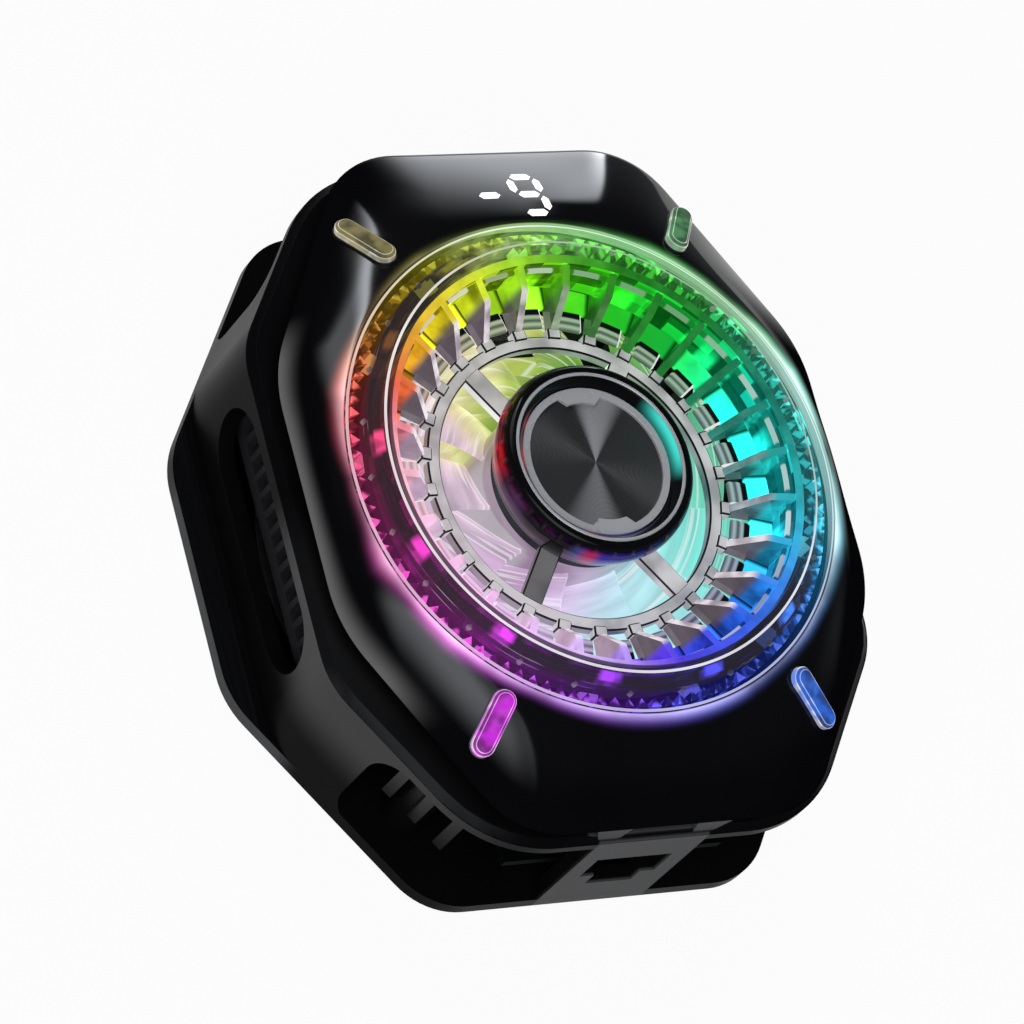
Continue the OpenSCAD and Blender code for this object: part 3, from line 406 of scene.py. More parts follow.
def vane_side():
    net, place, angle, radius, _ = start_round("vane_side")
    outer, lit = net.step(radius, 19.6, 20.8), edge_light(net, angle)
    cloud, near = net.noise(place, 260, 3), toward(net, angle, 215, 0.45, 0.9)
    # Painted light and shade of the vane sides: dark on the far side, pale and bright towards 215 degrees.
    painted_light_and_shade = net.mix(cloud, (0.05, 0.038, 0.05), (0.15, 0.12, 0.145))
    painted_light_and_shade = net.mix(near * 0.9, painted_light_and_shade, net.mix(cloud, (0.3, 0.17, 0.29), (0.95, 0.68, 0.9)))
    shaded = net.mix(lit, rainbow(net, angle, 0.9, 0.04 + cloud * 0.08), painted_light_and_shade)
    value = net.step(cloud, 0.3, 0.7) * (0.3 + lit * 0.5) + 0.2 + near * 0.2
    light = rainbow(net, angle, 0.98 - near * 0.5, value)
    return close_lit(net, net.mix(outer, shaded, light), 0.5 + lit * 0.4)


def vane_edge():
    net, place, angle, radius, _ = start_round("vane_edge")
    outer, lit = net.step(radius, 19.5, 20.4), edge_light(net, angle)
    cloud, near = net.noise(place, 420, 2), toward(net, angle, 215, 0.45, 0.9)
    pale = net.mix(net.step(cloud, 0.3, 0.7), (0.34, 0.28, 0.33), (0.9, 0.82, 0.88))
    light = rainbow(net, angle, 0.95 - near * 0.5, 0.45 + cloud * 0.7 + near * 0.15)
    bright = net.mix(outer, pale, light)
    return close_lit(net, net.mix(lit, rainbow(net, angle, 0.92, 0.05 + cloud * 0.3), bright))


def lit_wall():
    """The wall as a mosaic of cells, two to a bay and four high, each with its own brightness."""
    net, place, angle, _, height = start_round("lit_wall")
    cloud, flake = net.noise(place, 300, 3), net.noise(place, 900, 1)
    turns, rows = (angle - math.pi / 2) / PITCH * 2, height / CELL_H
    cell = net.vector(turns.take("FLOOR"), rows.take("FLOOR"))
    chance = net.make("ShaderNodeTexWhiteNoise", {"noise_dimensions": "2D"}, {"Vector": cell})
    cell = net.step(chance, 0.3, 1.0)
    post = net.step(bay(angle), 0.74, 0.9) * net.step(flake, 0.38, 0.6)
    low = 1 - net.step(height, 21.0, 24.6)
    spot = lamp_spot(net, angle) * low * (0.3 + flake * 1.6)
    value = 0.03 + cloud * 0.12 + cell * 0.65 + post * 0.6 + spot
    blue, red = toward(net, angle, 290, 0.6, 0.95), toward(net, angle, 190, 0.6, 0.95)
    value = value * (1 + blue * 1.1 + red * 0.5)
    return close_lit(net, rainbow(net, angle, 0.99, value), 0.85)


def lit_rib():
    net, _, angle, _, _ = start_round("lit_rib")
    bar = (1 - net.step(bay(angle), 0.48, 0.6)) * (0.25 + bay_chance(net, angle) * 0.75)
    pale = net.mix(0.55, rainbow(net, angle, 0.45, 0.8), (0.62, 0.66, 0.65))
    return close_lit(net, net.mix(bar, rainbow(net, angle, 0.97, 0.22), pale))


def lit_floor():
    net, place, angle, _, _ = start_round("lit_floor")
    tile = 1 - net.step(bay(angle), 0.6, 0.8)
    streak, chance = net.noise(place, 330, 3), bay_chance(net, angle)
    value = 0.3 + toward(net, angle, 195, 0.6, 0.95) * 0.35 + chance * streak * 4.2
    return close_lit(net, rainbow(net, angle, 0.98, 0.08 + tile * value))


def grey_clear(name, dark, pale, tint, dim=0.0):
    """Grey clear plastic with a tint of the ring's light, painted paler towards 210 degrees; dim paints shade
    on it towards the port's left.
    """
    net, place, angle, _, _ = start_round(name)
    cloud = net.noise(place, 240, 2)
    grey = net.mix(net.step(cloud, 0.3, 0.7) + toward(net, angle, 210, 0.5, 0.9) * 0.4, dark, pale)
    if dim:
        # Painted shade, a dark green-grey, on the spoke towards 235 degrees.
        painted_light_and_shade = net.mix(cloud, (0.02, 0.03, 0.02), (0.1, 0.12, 0.09))
        grey = net.mix(toward(net, angle, 235, 0.9, 0.95) * dim, grey, painted_light_and_shade)
    return close_lit(net, net.mix(tint, grey, rainbow(net, angle, 0.75, 0.5)))


def tongue_face():
    net, _, angle, radius, _ = start_round("tongue_face")
    ribs = ((radius * 7.5).take("SINE") + 1) * 0.5
    shade, near = 1 - net.step(radius, 18.8, 18.95), toward(net, angle, 205, 0.4, 0.9)
    pale = rainbow(net, angle, 0.34, 0.56 + near * 0.3)
    factor = (0.2 + ribs * 0.65) * shade * (1 - near) + (0.6 + ribs * 0.4) * near
    return close_lit(net, net.mix(factor, (0.004, 0.006, 0.005), pale))


def dark_line():
    net, place = start("dark_line")
    cloud = net.noise(place, 500, 2)
    return close(net, {"Base Color": net.mix(cloud, (0.006, 0.006, 0.007), (0.02, 0.02, 0.022)),
                       "Roughness": 0.25 + cloud * 0.1})


CELL_H = 1.6
vane_side_finish, vane_edge_finish = vane_side(), vane_edge()
wall_finish, rib_finish, floor_finish, tongue_finish = lit_wall(), lit_rib(), lit_floor(), tongue_face()
ring_grey_finish = grey_clear("ring_grey", (0.3, 0.3, 0.31), (0.6, 0.59, 0.6), 0.08)
spoke_finish = grey_clear("spoke_grey", (0.3, 0.3, 0.31), (0.62, 0.61, 0.62), 0.06, 0.9)
ring_side_finish = grey_clear("ring_side", (0.05, 0.06, 0.055), (0.3, 0.32, 0.31), 0.2)
# The hub plate is near black: painted shade under the hub cap.
hub_plate_painted_shade = grey_clear("hub_plate", (0.004, 0.008, 0.007), (0.012, 0.03, 0.027), 0.03)
white_side_finish = grey_clear("white_side", (0.72, 0.72, 0.74), (0.9, 0.9, 0.9), 0.08)
line_finish = dark_line()
print("guard finishes made")

# %% [markdown]
# ## Mesh helpers
# Four things are needed again and again: a piece from a bmesh, a turned piece from a profile, a skin
# between loops of points, and a plate cut from an outline with a fine bevel. The bevel's faces take
# the second material slot, so that the edges of clear pieces can be bright. Turning could also be
# done with Screw modifiers, but a plain loop keeps the poles closed and the normals known.


# %% Pieces, lathes and plates
def piece(name, bm, finishes, nodes, body="body", sharp=32):
    """Makes an object of a bmesh, in metres, and ties it to the frame."""
    bmesh.ops.remove_doubles(bm, verts=bm.verts, dist=2e-6)
    bmesh.ops.recalc_face_normals(bm, faces=bm.faces)
    mesh = bpy.data.meshes.new(name)
    bm.to_mesh(mesh)
    bm.free()
    for finish in finishes:
        mesh.materials.append(finish)
    mesh.shade_smooth()
    mesh.set_sharp_from_angle(angle=math.radians(sharp))
    return tie(bpy.data.objects.new(name, mesh), nodes, body)


def tie(obj, nodes, body="body"):
    """Links an object, ties it to the body it rides on and hides the nodes it stands for."""
    if obj.name not in scene.collection.objects:
        scene.collection.objects.link(obj)
    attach(obj, body)
    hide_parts(*nodes)
    return obj


def turned(profile, steps, index=None):
    """A closed (r, z) profile, in millimetres, turned about Z; index gives slots by edge."""
    bm, rows = bmesh.new(), []
    for k in range(steps):
        c, s = math.cos(2 * math.pi * k / steps), math.sin(2 * math.pi * k / steps)
        rows.append([bm.verts.new((r * c * MM, r * s * MM, z * MM)) for r, z in profile])
    count = len(profile)
    for k in range(steps):
        a, b = rows[k], rows[(k + 1) % steps]
        for i in range(count):
            j = (i + 1) % count
            if profile[i][0] == 0 and profile[j][0] == 0:
                continue
            face = bm.faces.new((a[i], b[i], b[j], a[j]))
            face.material_index = index[i] if index else 0
    return bm


def skin(bm, loops):
    """Joins each closed loop of points to the next by a strip of faces, and returns the strips."""
    return [[bm.faces.new(four) for four in zip(this, this[1:] + this[:1], after[1:] + after[:1], after)]
            for this, after in zip(loops, loops[1:])]


def plate(outline, low, high, bevel):
    """A prism of an (x, y) outline between two heights with bevelled, second-slot edges."""
    bm = bmesh.new()
    base = bm.faces.new([bm.verts.new((x * MM, y * MM, low * MM)) for x, y in outline])
    top = bmesh.ops.extrude_face_region(bm, geom=[base])["geom"]
    bmesh.ops.translate(bm, vec=(0, 0, (high - low) * MM),
                        verts=[v for v in top if isinstance(v, bmesh.types.BMVert)])
    bmesh.ops.recalc_face_normals(bm, faces=bm.faces)
    bmesh.ops.bevel(bm, geom=list(bm.edges), offset=bevel * MM, segments=1, affect="EDGES",
                    material=1, profile=0.5)
    return bm


def box_outline(x0, x1, width):
    return [(x0, -width / 2), (x1, -width / 2), (x1, width / 2), (x0, width / 2)]


print("mesh helpers ready")

# %% [markdown]
# ## Copies round the axis
# The guard's vanes, blocks and tongues, and the fan's blades, are each one shape set round the axis
# many times. A Geometry Nodes tree does this: points are made, one copy stands on each with its own
# turn, and the copies are made real. Faces marked as edges then get the second finish. An Array
# modifier with an empty could do it too, but it can't tell edges from faces.


# %% The tree for copies round the axis
def group(name, inputs):
    """A Geometry Nodes group with named inputs; returns its net and the inputs as wires."""
    tree = bpy.data.node_groups.new(name, "GeometryNodeTree")
    tree.interface.new_socket("Geometry", in_out="OUTPUT", socket_type="NodeSocketGeometry")
    for label, kind in inputs:
        tree.interface.new_socket(label, in_out="INPUT", socket_type="NodeSocket" + kind)
    net = Net(tree)
    return net, net.make("NodeGroupInput")


def stand_copies(net, given, shape, turn, edge, place=(0, 0, 0)):
    """Ends a tree: copies of a shape, each at its turn and place, in two finishes."""
    points = net.make("GeometryNodePoints", None, {"Count": given["Count"], "Position": place})
    copies = net.make("GeometryNodeInstanceOnPoints", None, {
        "Points": points, "Instance": shape, "Rotation": net.vector(z=turn)})
    real = net.make("GeometryNodeRealizeInstances", None, {"Geometry": copies})
    faces = net.make("GeometryNodeSetMaterial", None, {"Geometry": real, "Material": given["Finish"]})
    done = net.make("GeometryNodeSetMaterial", None, {
        "Geometry": faces, "Selection": edge, "Material": given["Edge finish"]})
    net.make("NodeGroupOutput", None, {"Geometry": done})
    return net.tree


def copies_round():
    net, given = group("copies_round", [
        ("Shape", "Object"), ("Count", "Int"), ("First turn", "Float"),
        ("Finish", "Material"), ("Edge finish", "Material")])
    shape = net.make("GeometryNodeObjectInfo", None, {"Object": given["Shape"]}, "Geometry")
    turn = net.make("GeometryNodeInputIndex") * (2 * math.pi) / given["Count"] + given["First turn"]
    edge = net.make("GeometryNodeInputNamedAttribute", {"data_type": "BOOLEAN"}, {"Name": "edge"},
                    "Attribute")
    return stand_copies(net, given, shape, turn, edge)


def grow(name, tree, inputs, nodes, body="body", sharp=32):
    """Runs a tree with these named inputs and keeps the result as a plain mesh."""
    obj = bpy.data.objects.new(name, bpy.data.meshes.new(name))
    scene.collection.objects.link(obj)
    modifier = obj.modifiers.new("grow", "NODES")
    modifier.node_group = tree
    for item in tree.interface.items_tree:
        if item.item_type == "SOCKET" and item.in_out == "INPUT":
            modifier[item.identifier] = inputs[item.name]
    graph = bpy.context.evaluated_depsgraph_get()
    mesh = bpy.data.meshes.new_from_object(obj.evaluated_get(graph))
    obj.modifiers.remove(modifier)
    obj.data = mesh
    mesh.name = name
    mesh.shade_smooth()
    mesh.set_sharp_from_angle(angle=math.radians(sharp))
    print(name, "faces:", len(mesh.polygons))
    return tie(obj, nodes, body)


def pattern(name, bm, is_edge=None):
    """A hidden shape for a tree to copy; is_edge says by a face's normal which faces are edges."""
    if is_edge:
        for face in bm.faces:
            face.normal_update()
            face.material_index = int(is_edge(face.normal))
    mesh = bpy.data.meshes.new(name)
    bm.to_mesh(mesh)
    bm.free()
    mark = mesh.attributes.new("edge", "BOOLEAN", "FACE")
    for face in mesh.polygons:
        mark.data[face.index].value = face.material_index == 1
        face.material_index = 0
    return bpy.data.objects.new(name, mesh)


copies_tree = copies_round()
print("tree inputs:", [i.name for i in copies_tree.interface.items_tree if i.in_out == "INPUT"])

# %% [markdown]
# ## The guard
# On the real cooler the guard is one clear moulding: a wall with a floor and a rib, upright dog-leg
# vanes, an inner ring with little blocks, and four spokes to the hub. It is split here by finish.
# Each vane is a plate standing on its long edge, so its outline is drawn flat and then tipped up.


# %% Vanes
def stand_up(bm):
    bmesh.ops.rotate(bm, verts=bm.verts, matrix=Matrix.Rotation(math.pi / 2, 3, "X"))
    return bm


ROOT = 0.1
vane_outline = [(EYE_OUT_R - 0.3, EYE_Z), (GUARD_IN_R + ROOT, FLOOR_Z), (GUARD_IN_R + ROOT, GUARD_TOP - 0.4),
                (KNEE_R, KNEE_Z), (EYE_OUT_R + 0.3, EYE_TOP), (EYE_OUT_R - 0.3, EYE_TOP)]
vane_shape = pattern("vane_shape", stand_up(plate(vane_outline, -VANE_T / 2, VANE_T / 2, 0.1)),
                     lambda normal: abs(normal.y) < 0.9)
first_vane = math.pi / 2 + PITCH / 2
grow("guard_vanes", copies_tree, {
    "Shape": vane_shape, "Count": VANES, "First turn": first_vane,
    "Finish": vane_side_finish, "Edge finish": vane_edge_finish}, ["fan_guard"])

# %% Blocks and tongues
BLOCK_W, BLOCK_RISE, BAR_BEVEL, TONGUE_L, TONGUE_W = 1.5, 0.35, 0.16, 2.2, 2.6
block = pattern("block_shape", plate(box_outline(EYE_OUT_R - 0.4, EYE_OUT_R + 0.8, BLOCK_W),
                                     EYE_Z, EYE_TOP + BLOCK_RISE, BAR_BEVEL))
grow("guard_blocks", copies_tree, {
    "Shape": block, "Count": VANES, "First turn": first_vane,
    "Finish": ring_grey_finish, "Edge finish": line_finish}, ["fan_guard"])
tongue = pattern("tongue_shape", plate(box_outline(FLOOR_IN_R - TONGUE_L, FLOOR_IN_R + 0.05, TONGUE_W),
                                       FLOOR_Z, FLOOR_Z + FLOOR_T, 0.2), lambda normal: normal.y < -0.5)
grow("guard_tongues", copies_tree, {
    "Shape": tongue, "Count": VANES, "First turn": math.pi / 2,
    "Finish": tongue_finish, "Edge finish": white_side_finish}, ["fan_guard"])


# %% Wall, floor, rib and inner ring
def bevelled_ring(r_in, r_out, low, high, cut):
    """Profile of a ring whose two top edges are cut."""
    return [(r_in, low), (r_in, high - cut), (r_in + cut, high), (r_out - cut, high), (r_out, high - cut),
            (r_out, low)]


RIB_PROUD, RIB_Z, RIB_TOP, WALL_CUT = 0.35, 24.4, 24.9, 0.15
GUARD_SIDES = VANES * 8
wall = [(GUARD_IN_R, COVER_Z), (GUARD_IN_R, GUARD_TOP - WALL_CUT), (GUARD_IN_R + WALL_CUT, GUARD_TOP),
        (GUARD_R, GUARD_TOP), (GUARD_R, COVER_Z)]
floor_ring = bevelled_ring(FLOOR_IN_R, GUARD_IN_R + ROOT, FLOOR_Z, FLOOR_Z + FLOOR_T, 0.1)
rib = bevelled_ring(GUARD_IN_R - RIB_PROUD, GUARD_IN_R + ROOT, RIB_Z, RIB_TOP, 0.1)
inner_ring = bevelled_ring(EYE_R, EYE_OUT_R, EYE_Z, EYE_TOP, 0.17)
for name, profile, index, finishes in (
        ("guard_wall", wall, [0, 1, 1, 0, 0], [wall_finish, vane_edge_finish]),
        ("guard_floor", floor_ring, None, [floor_finish]),
        ("guard_rib", rib, None, [rib_finish]),
        ("guard_inner_ring", inner_ring, [2, 1, 0, 1, 2, 0],
         [ring_grey_finish, line_finish, ring_side_finish])):
    piece(name, turned(profile, GUARD_SIDES, index), finishes, ["fan_guard"])
print("guard rings made")

# %% [markdown]
# The spokes aren't evenly spaced, so they are placed in a plain loop. Each is a bar with dark edge
# lines and one bright side face, where light leaves the plastic. The hub plate under the cap is
# turned.

# %% Spokes and hub plate
SPOKE_W = 2.3
spokes = bmesh.new()
for turn in SPOKES:
    bar = plate(box_outline(HUB_PLATE_R - 0.4, EYE_R + 0.3, SPOKE_W), EYE_Z, EYE_TOP + 0.05, BAR_BEVEL)
    for face in bar.faces:
        if face.material_index == 0 and face.normal.y > 0.9:
            face.material_index = 2
    bmesh.ops.rotate(bar, verts=bar.verts, matrix=Matrix.Rotation(turn, 3, "Z"))
    spoke = bpy.data.meshes.new("spoke")
    bar.to_mesh(spoke)
    bar.free()
    spokes.from_mesh(spoke)
    bpy.data.meshes.remove(spoke)
piece("guard_spokes", spokes, [spoke_finish, line_finish, white_side_finish], ["fan_guard"])
hub_plate = [(0, EYE_Z), (HUB_PLATE_R, EYE_Z), (HUB_PLATE_R, HUB_PLATE_TOP), (0, HUB_PLATE_TOP)]
piece("guard_hub_plate", turned(hub_plate, 96), [hub_plate_painted_shade], ["fan_guard"])
print("spokes:", len(SPOKES))

# %% [markdown]
# ## The clear ring
# The ring's sloped band is a thin clear roof over a channel of lamps. It is nearly see-through, with
# a bright line along its rim and another where it leaves the cover. Inside its outer wall are fine
# upright flutes, whose ends show as little triangles; Geometry Nodes set those round the channel.


# %% Finishes of the clear ring
def lens_slope():
    net, place, angle, radius, _ = start_round("lens_slope")
    outer = net.step(radius, SEAM_R - 0.1, SEAM_R + 0.15)
    streak = net.step(net.noise(net.vector(angle * 2.2, radius * 3.5), 2.2, 2), 0.6, 0.72)
    seam = net.step((radius - SEAM_R).take("ABSOLUTE"), 0.1, 0.04) * streak
    flake = net.noise(place, 520, 1)
    square = net.step(radius, 23.95, 24.1) * (1 - net.step(radius, 24.75, 24.95))
    spot = lamp_spot(net, angle) * square * (0.45 + net.step(flake, 0.4, 0.55) * 0.55)
    spot = spot * (1 - toward(net, angle, 130, 0.85, 0.95) * 0.85)
    far, inside = toward(net, angle, 40, 0.05, 0.6), 1 - net.step(radius, 23.6, 23.9)
    top = toward(net, angle, 92, 0.9, 0.98) * net.step(flake, 0.35, 0.6)
    value = 0.01 + outer * (0.14 + far * 0.14) + far * 0.1 + top * 0.4 + streak * (0.1 + far * 0.45)
    tinted = rainbow(net, angle, 0.96 - top * 0.25, value + spot * 1.1)
    glow = net.mix(1.0, tinted, net.mix(outer, (0.022, 0.018, 0.022), (0, 0, 0)), "ADD")
    veil = (0.66 - outer * 0.38) * (1 - far * (0.4 + inside * 0.45)) + seam * 0.4 + spot * 0.3
    return close_lit(net, net.mix(seam, glow, (0.35, 0.34, 0.36)), veil, 0.05)


def lens_line(name, near_look, far_look):
    """A bright edge line; each look is its saturation and strength on that side of the ring."""
    net, place, angle, _, _ = start_round(name)
    cloud, far = net.noise(place, 120, 2), toward(net, angle, 48, 0.1, 0.8)
    saturation, value = (a + far * (b - a) for a, b in zip(near_look, far_look))
    return close_lit(net, rainbow(net, angle, saturation, value * (0.72 + cloud * 0.5)))


def flute_face(name, saturation, low, high):
    net, place, angle, _, _ = start_round(name)
    spark, shift = net.noise(place, 700, 1), net.noise(place, 60, 1)
    strong = 0.5 + toward(net, angle, 220, -0.1, 0.6) * 0.7 + toward(net, angle, 20, 0.0, 0.7) * 0.9
    bright = strong * (low + net.step(spark, 0.45, 0.6) * (high - low))
    return close_lit(net, rainbow(net, angle + (shift - 0.5) * 0.9, saturation, bright))


SEAM_R = 25.2
slope_finish = lens_slope()
rim_finish = lens_line("rim_line", (0.1, 0.85), (0.4, 0.5))
edge_line_finish = lens_line("edge_line", (0.4, 0.75), (0.15, 0.95))
flute_finish = flute_face("flute_side", 0.96, 0.04, 0.6)
flute_end_finish = flute_face("flute_end", 0.9, 0.12, 1.4)
print("clear ring finishes made")

# %% The clear ring's body
LENS_WALL, LENS_ROOF = 0.9, 1.0
channel_r = RING_R - LENS_WALL
lens_profile = [(LENS_IN_R, BOARD_TOP), (LENS_IN_R, RIM_Z - 0.18), (LENS_IN_R + 0.18, RIM_Z),
                (RIM_R - 0.26, RIM_Z), (RIM_R, RIM_Z - 0.1), (RING_R - 0.24, EDGE_Z + 0.16),
                (RING_R, EDGE_Z - 0.03), (RING_R, BOARD_TOP), (channel_r, BOARD_TOP),
                (channel_r, EDGE_Z - 0.4), (RIM_R, RIM_Z - LENS_ROOF), (RIM_R, BOARD_TOP)]
lens = turned(lens_profile, 240, [0, 0, 0, 1, 0, 2, 0, 0, 0, 0, 0, 0])
piece("lens_shell", lens, [slope_finish, rim_finish, edge_line_finish], ["lens_ring"],
      sharp=20)


# %% Flutes and nubs in the channel
def flute_tree():
    net, given = group("flutes_round", [
        ("Count", "Int"), ("Ring radius", "Float"), ("Tooth radius", "Float"), ("Height", "Float"),
        ("Middle height", "Float"), ("Sides", "Int"), ("Finish", "Material"), ("Edge finish", "Material")])
    tooth = net.make("GeometryNodeMeshCylinder", None, {
        "Vertices": given["Sides"], "Radius": given["Tooth radius"], "Depth": given["Height"]})
    turn = net.make("GeometryNodeInputIndex") * (2 * math.pi) / given["Count"]
    x, y = across_along(turn, given["Ring radius"])
    place = net.vector(x, y, given["Middle height"])
    lift = net.make("ShaderNodeSeparateXYZ", None, {0: net.make("GeometryNodeInputNormal")})["Z"]
    top = lift.math("GREATER_THAN", lift, 0.5)
    return stand_copies(net, given, tooth, turn + math.pi, top, place)


flutes_tree = flute_tree()
grow("lens_flutes", flutes_tree, {
    "Count": 108, "Ring radius": 25.9 * MM, "Tooth radius": 0.66 * MM, "Height": 2.9 * MM,
    "Middle height": 22.65 * MM, "Sides": 3, "Finish": flute_finish, "Edge finish": flute_end_finish},
    ["lens_ring"], sharp=20)
grow("lens_nubs", flutes_tree, {
    "Count": VANES, "Ring radius": 25.1 * MM, "Tooth radius": 0.3 * MM, "Height": 0.5 * MM,
    "Middle height": 24.8 * MM, "Sides": 4, "Finish": ring_side_finish, "Edge finish": ring_side_finish},
    ["lens_ring"], sharp=20)

# %% [markdown]
# ## The front cover
# The cover blends from the round lip at the clear ring out to a soft eight-sided edge. The CAD solid
# is a faceted hull; here the same two outlines are joined ring by ring at equal angles, with a little
# extra crown, so that reflections run smoothly across it. It is a closed shell with a real thickness.


# %% Outlines of the cover
def rounded_outline(width, length, end_w, side_l, side_r, end_r, inset):
    """Points along an eight-sided outline with rounded corners, drawn in by an even distance."""
    w, l, e, s = width / 2, length / 2, end_w / 2, side_l / 2
    corners = [Vector(p) for p in (
        (w, s), (e, l), (-e, l), (-w, s), (-w, -s), (-e, -l), (e, -l), (w, -s))]
    points = []
    for i, corner in enumerate(corners):
        before = (corners[i - 1] - corner).normalized()
        after = (corners[(i + 1) % 8] - corner).normalized()
        half = before.angle(after) / 2
        inward = (before + after).normalized()
        radius = (side_r if i % 4 in (0, 3) else end_r) - inset
        centre = corner + inward * (inset + radius) / math.sin(half)
        out = math.atan2(-inward.y, -inward.x)
        sweep = math.pi / 2 - half
        turns = [out + sweep * k / CORNER_STEPS for k in range(-CORNER_STEPS, CORNER_STEPS + 1)]
        points += [centre + radius * Vector((math.cos(turn), math.sin(turn))) for turn in turns]
    return points


def reach_table(points):
    """Distance from the axis by angle, as two arrays for interpolation."""
    loop = np.array([tuple(p) for p in points + points[:1]])
    dense = np.concatenate([np.linspace(a, b, EDGE_STEPS, endpoint=False) for a, b in zip(loop[:-1], loop[1:])])
    angle = np.arctan2(dense[:, 1], dense[:, 0])
    order = np.argsort(angle)
    return angle[order], np.hypot(dense[:, 0], dense[:, 1])[order]


def cover_table(inset):
    return reach_table(rounded_outline(COVER_W, COVER_L, COVER_END_W, COVER_SIDE_L, SIDE_R, END_R, inset))


def reach(table, angle):
    wrapped = (angle + math.pi) % (2 * math.pi) - math.pi
    return float(np.interp(wrapped, *table, period=2 * math.pi))


COVER_W, COVER_L, COVER_END_W, COVER_SIDE_L, SIDE_R, END_R = 61, 74.99, 33.8, 27.4, 16, 10
CORNER_STEPS, EDGE_STEPS = 8, 24
LIP_R, CROWN_Z, CROWN_IN, CROWN_RISE, CROWN_STEPS = 27.35, 20.5, 1.2, 1.0, 7
DOME_STEPS, DOME_POWER = 16, 1.45
outer_table, inner_table = cover_table(0), cover_table(CROWN_IN)


def edge_reach(angle, inset):
    """Distance from the axis to the cover's outline, drawn in by an inset."""
    out, drawn = reach(outer_table, angle), reach(inner_table, angle)
    return out + (drawn - out) * inset / CROWN_IN


def crown_point(angle, bend):
    return edge_reach(angle, CROWN_IN * (1 - math.cos(bend))), CROWN_Z + CROWN_RISE * math.sin(bend)


def crown_start(angle):
    """The bend at which the rounded edge is as steep as the slope's end, so that the two run on."""
    bend = math.pi / 4
    for _ in range(6):
        r, z = crown_point(angle, bend)
        bend = math.atan2(CROWN_RISE, CROWN_IN * DOME_POWER * (EDGE_Z - z) / (r - LIP_R))
    return bend


def slope_line(angle):
    """The cover's slope at one angle, from the lip over the rounded edge, as (r, z) points."""
    bend = crown_start(angle)
    edge_r, edge_z = crown_point(angle, bend)
    shares = [(k / DOME_STEPS) ** 1.3 for k in range(DOME_STEPS)]
    dome = [(LIP_R + (edge_r - LIP_R) * t, EDGE_Z + (edge_z - EDGE_Z) * t ** DOME_POWER) for t in shares]
    bends = [bend * (1 - k / (CROWN_STEPS - 1)) for k in range(CROWN_STEPS)]
    return dome + [crown_point(angle, b) for b in bends]


def cover_height(x, y):
    """Height of the cover's slope over a point, in millimetres."""
    return float(np.interp(math.hypot(x, y), *zip(*slope_line(math.atan2(y, x)))))


print("cover edge at 0 and 90 degrees:", round(edge_reach(0, 0), 2), round(edge_reach(math.pi / 2, 0), 2))

# %% The cover's shell
LOWER_IN, SKIN_IN, LIP_FOOT_Z, LIP_GAP, SIDES = 0.3, 1.9, 23.2, 0.1, 288
lip_in = RING_R + LIP_GAP
lip = [(lip_in, LIP_FOOT_Z), (lip_in, EDGE_Z - 0.12), (lip_in + 0.06, EDGE_Z - 0.03), (lip_in + 0.14, EDGE_Z)]
cover = bmesh.new()
rows = []
for k in range(SIDES):
    a = 2 * math.pi * k / SIDES
    line = lip + slope_line(a)
    line += [(edge_reach(a, inset), z) for inset, z in (
        (LOWER_IN, COVER_Z + 0.05), (LOWER_IN + 0.1, COVER_Z), (SKIN_IN - 0.2, COVER_Z), (SKIN_IN, CROWN_Z))]
    rows.append([cover.verts.new((r * math.cos(a) * MM, r * math.sin(a) * MM, z * MM)) for r, z in line])
skin(cover, rows + rows[:1])
piece("cover_shell", cover, [cover_finish], ["front_cover"], sharp=50)
print("cover rows:", SIDES)

# %% [markdown]
# ## Light bars and readout
# Four round-ended pips stand proud on the cover's slope, lit from below in the colour of their
# corner. Each has a bevelled top whose bevel catches the light. The readout's lit segments lie in
# the cover's surface, so their tops follow its height, a hair above it.


# %% Finishes of the bars and the readout
def bar_finish(name, gain, value, pale):
    """The bars' corner colours times gain, with glints of a pale value over a share of it."""
    net, place, angle, _, _ = start_round(name)
    deep = net.step(net.noise(place, 420, 2), 0.38, 0.6)
    glint = net.step(net.noise(place, 640, 1), 0.48, 0.62)
    violet, blue, green, gold = (0.5, 0.008, 0.6), (0.01, 0.1, 0.52), (0.05, 0.2, 0.08), (0.17, 0.145, 0.05)
    colour = net.ramp((angle + math.pi) / (2 * math.pi), (0.0, violet), (0.2, violet), (0.3, blue),
                      (0.42, blue), (0.6, green), (0.7, green), (0.8, gold), (0.92, gold), (1.0, violet))
    shade = net.scale(colour, gain * (0.4 + deep * 0.8))
    return close_lit(net, net.mix((0.45 + glint * 0.55) * pale, shade, (value, value * 0.97, value * 0.9)))


def readout_finish():
    net, place = start("readout_white")
    cloud = net.noise(place, 800, 2)
    return close(net, {
        "Base Color": (0.8, 0.8, 0.8, 1), "Roughness": 0.3,
        "Emission Color": net.mix(cloud, (0.9, 0.92, 0.95), (1.0, 1.0, 1.0)), "Emission Strength": 1.0})


bar_top_finish = bar_finish("bar_top", 1.0, 0.45, 0.1)
bar_edge_finish = bar_finish("bar_edge", 1.6, 0.9, 0.85)
bar_side_finish = bar_finish("bar_side", 1.2, 0.7, 0.5)
segment_finish = readout_finish()
print("bar finishes made")

# %% Light bars
BAR_L, BAR_W, BAR_R, BAR_PROUD, BAR_CUT = 7.2, 2.4, 32.0, 1.0, 0.4
# Each level of a bar: how far it is drawn in, its height over the cover, and the finish below it.
BAR_LEVELS = ((-0.14, -1.0, 3), (-0.14, 0.04, 3), (0, 0.05, 3), (0, BAR_PROUD - BAR_CUT, 2),
              (0.08, BAR_PROUD - BAR_CUT * 0.75, 1), (BAR_CUT - 0.08, BAR_PROUD - 0.06, 0),
              (BAR_CUT, BAR_PROUD, 1))


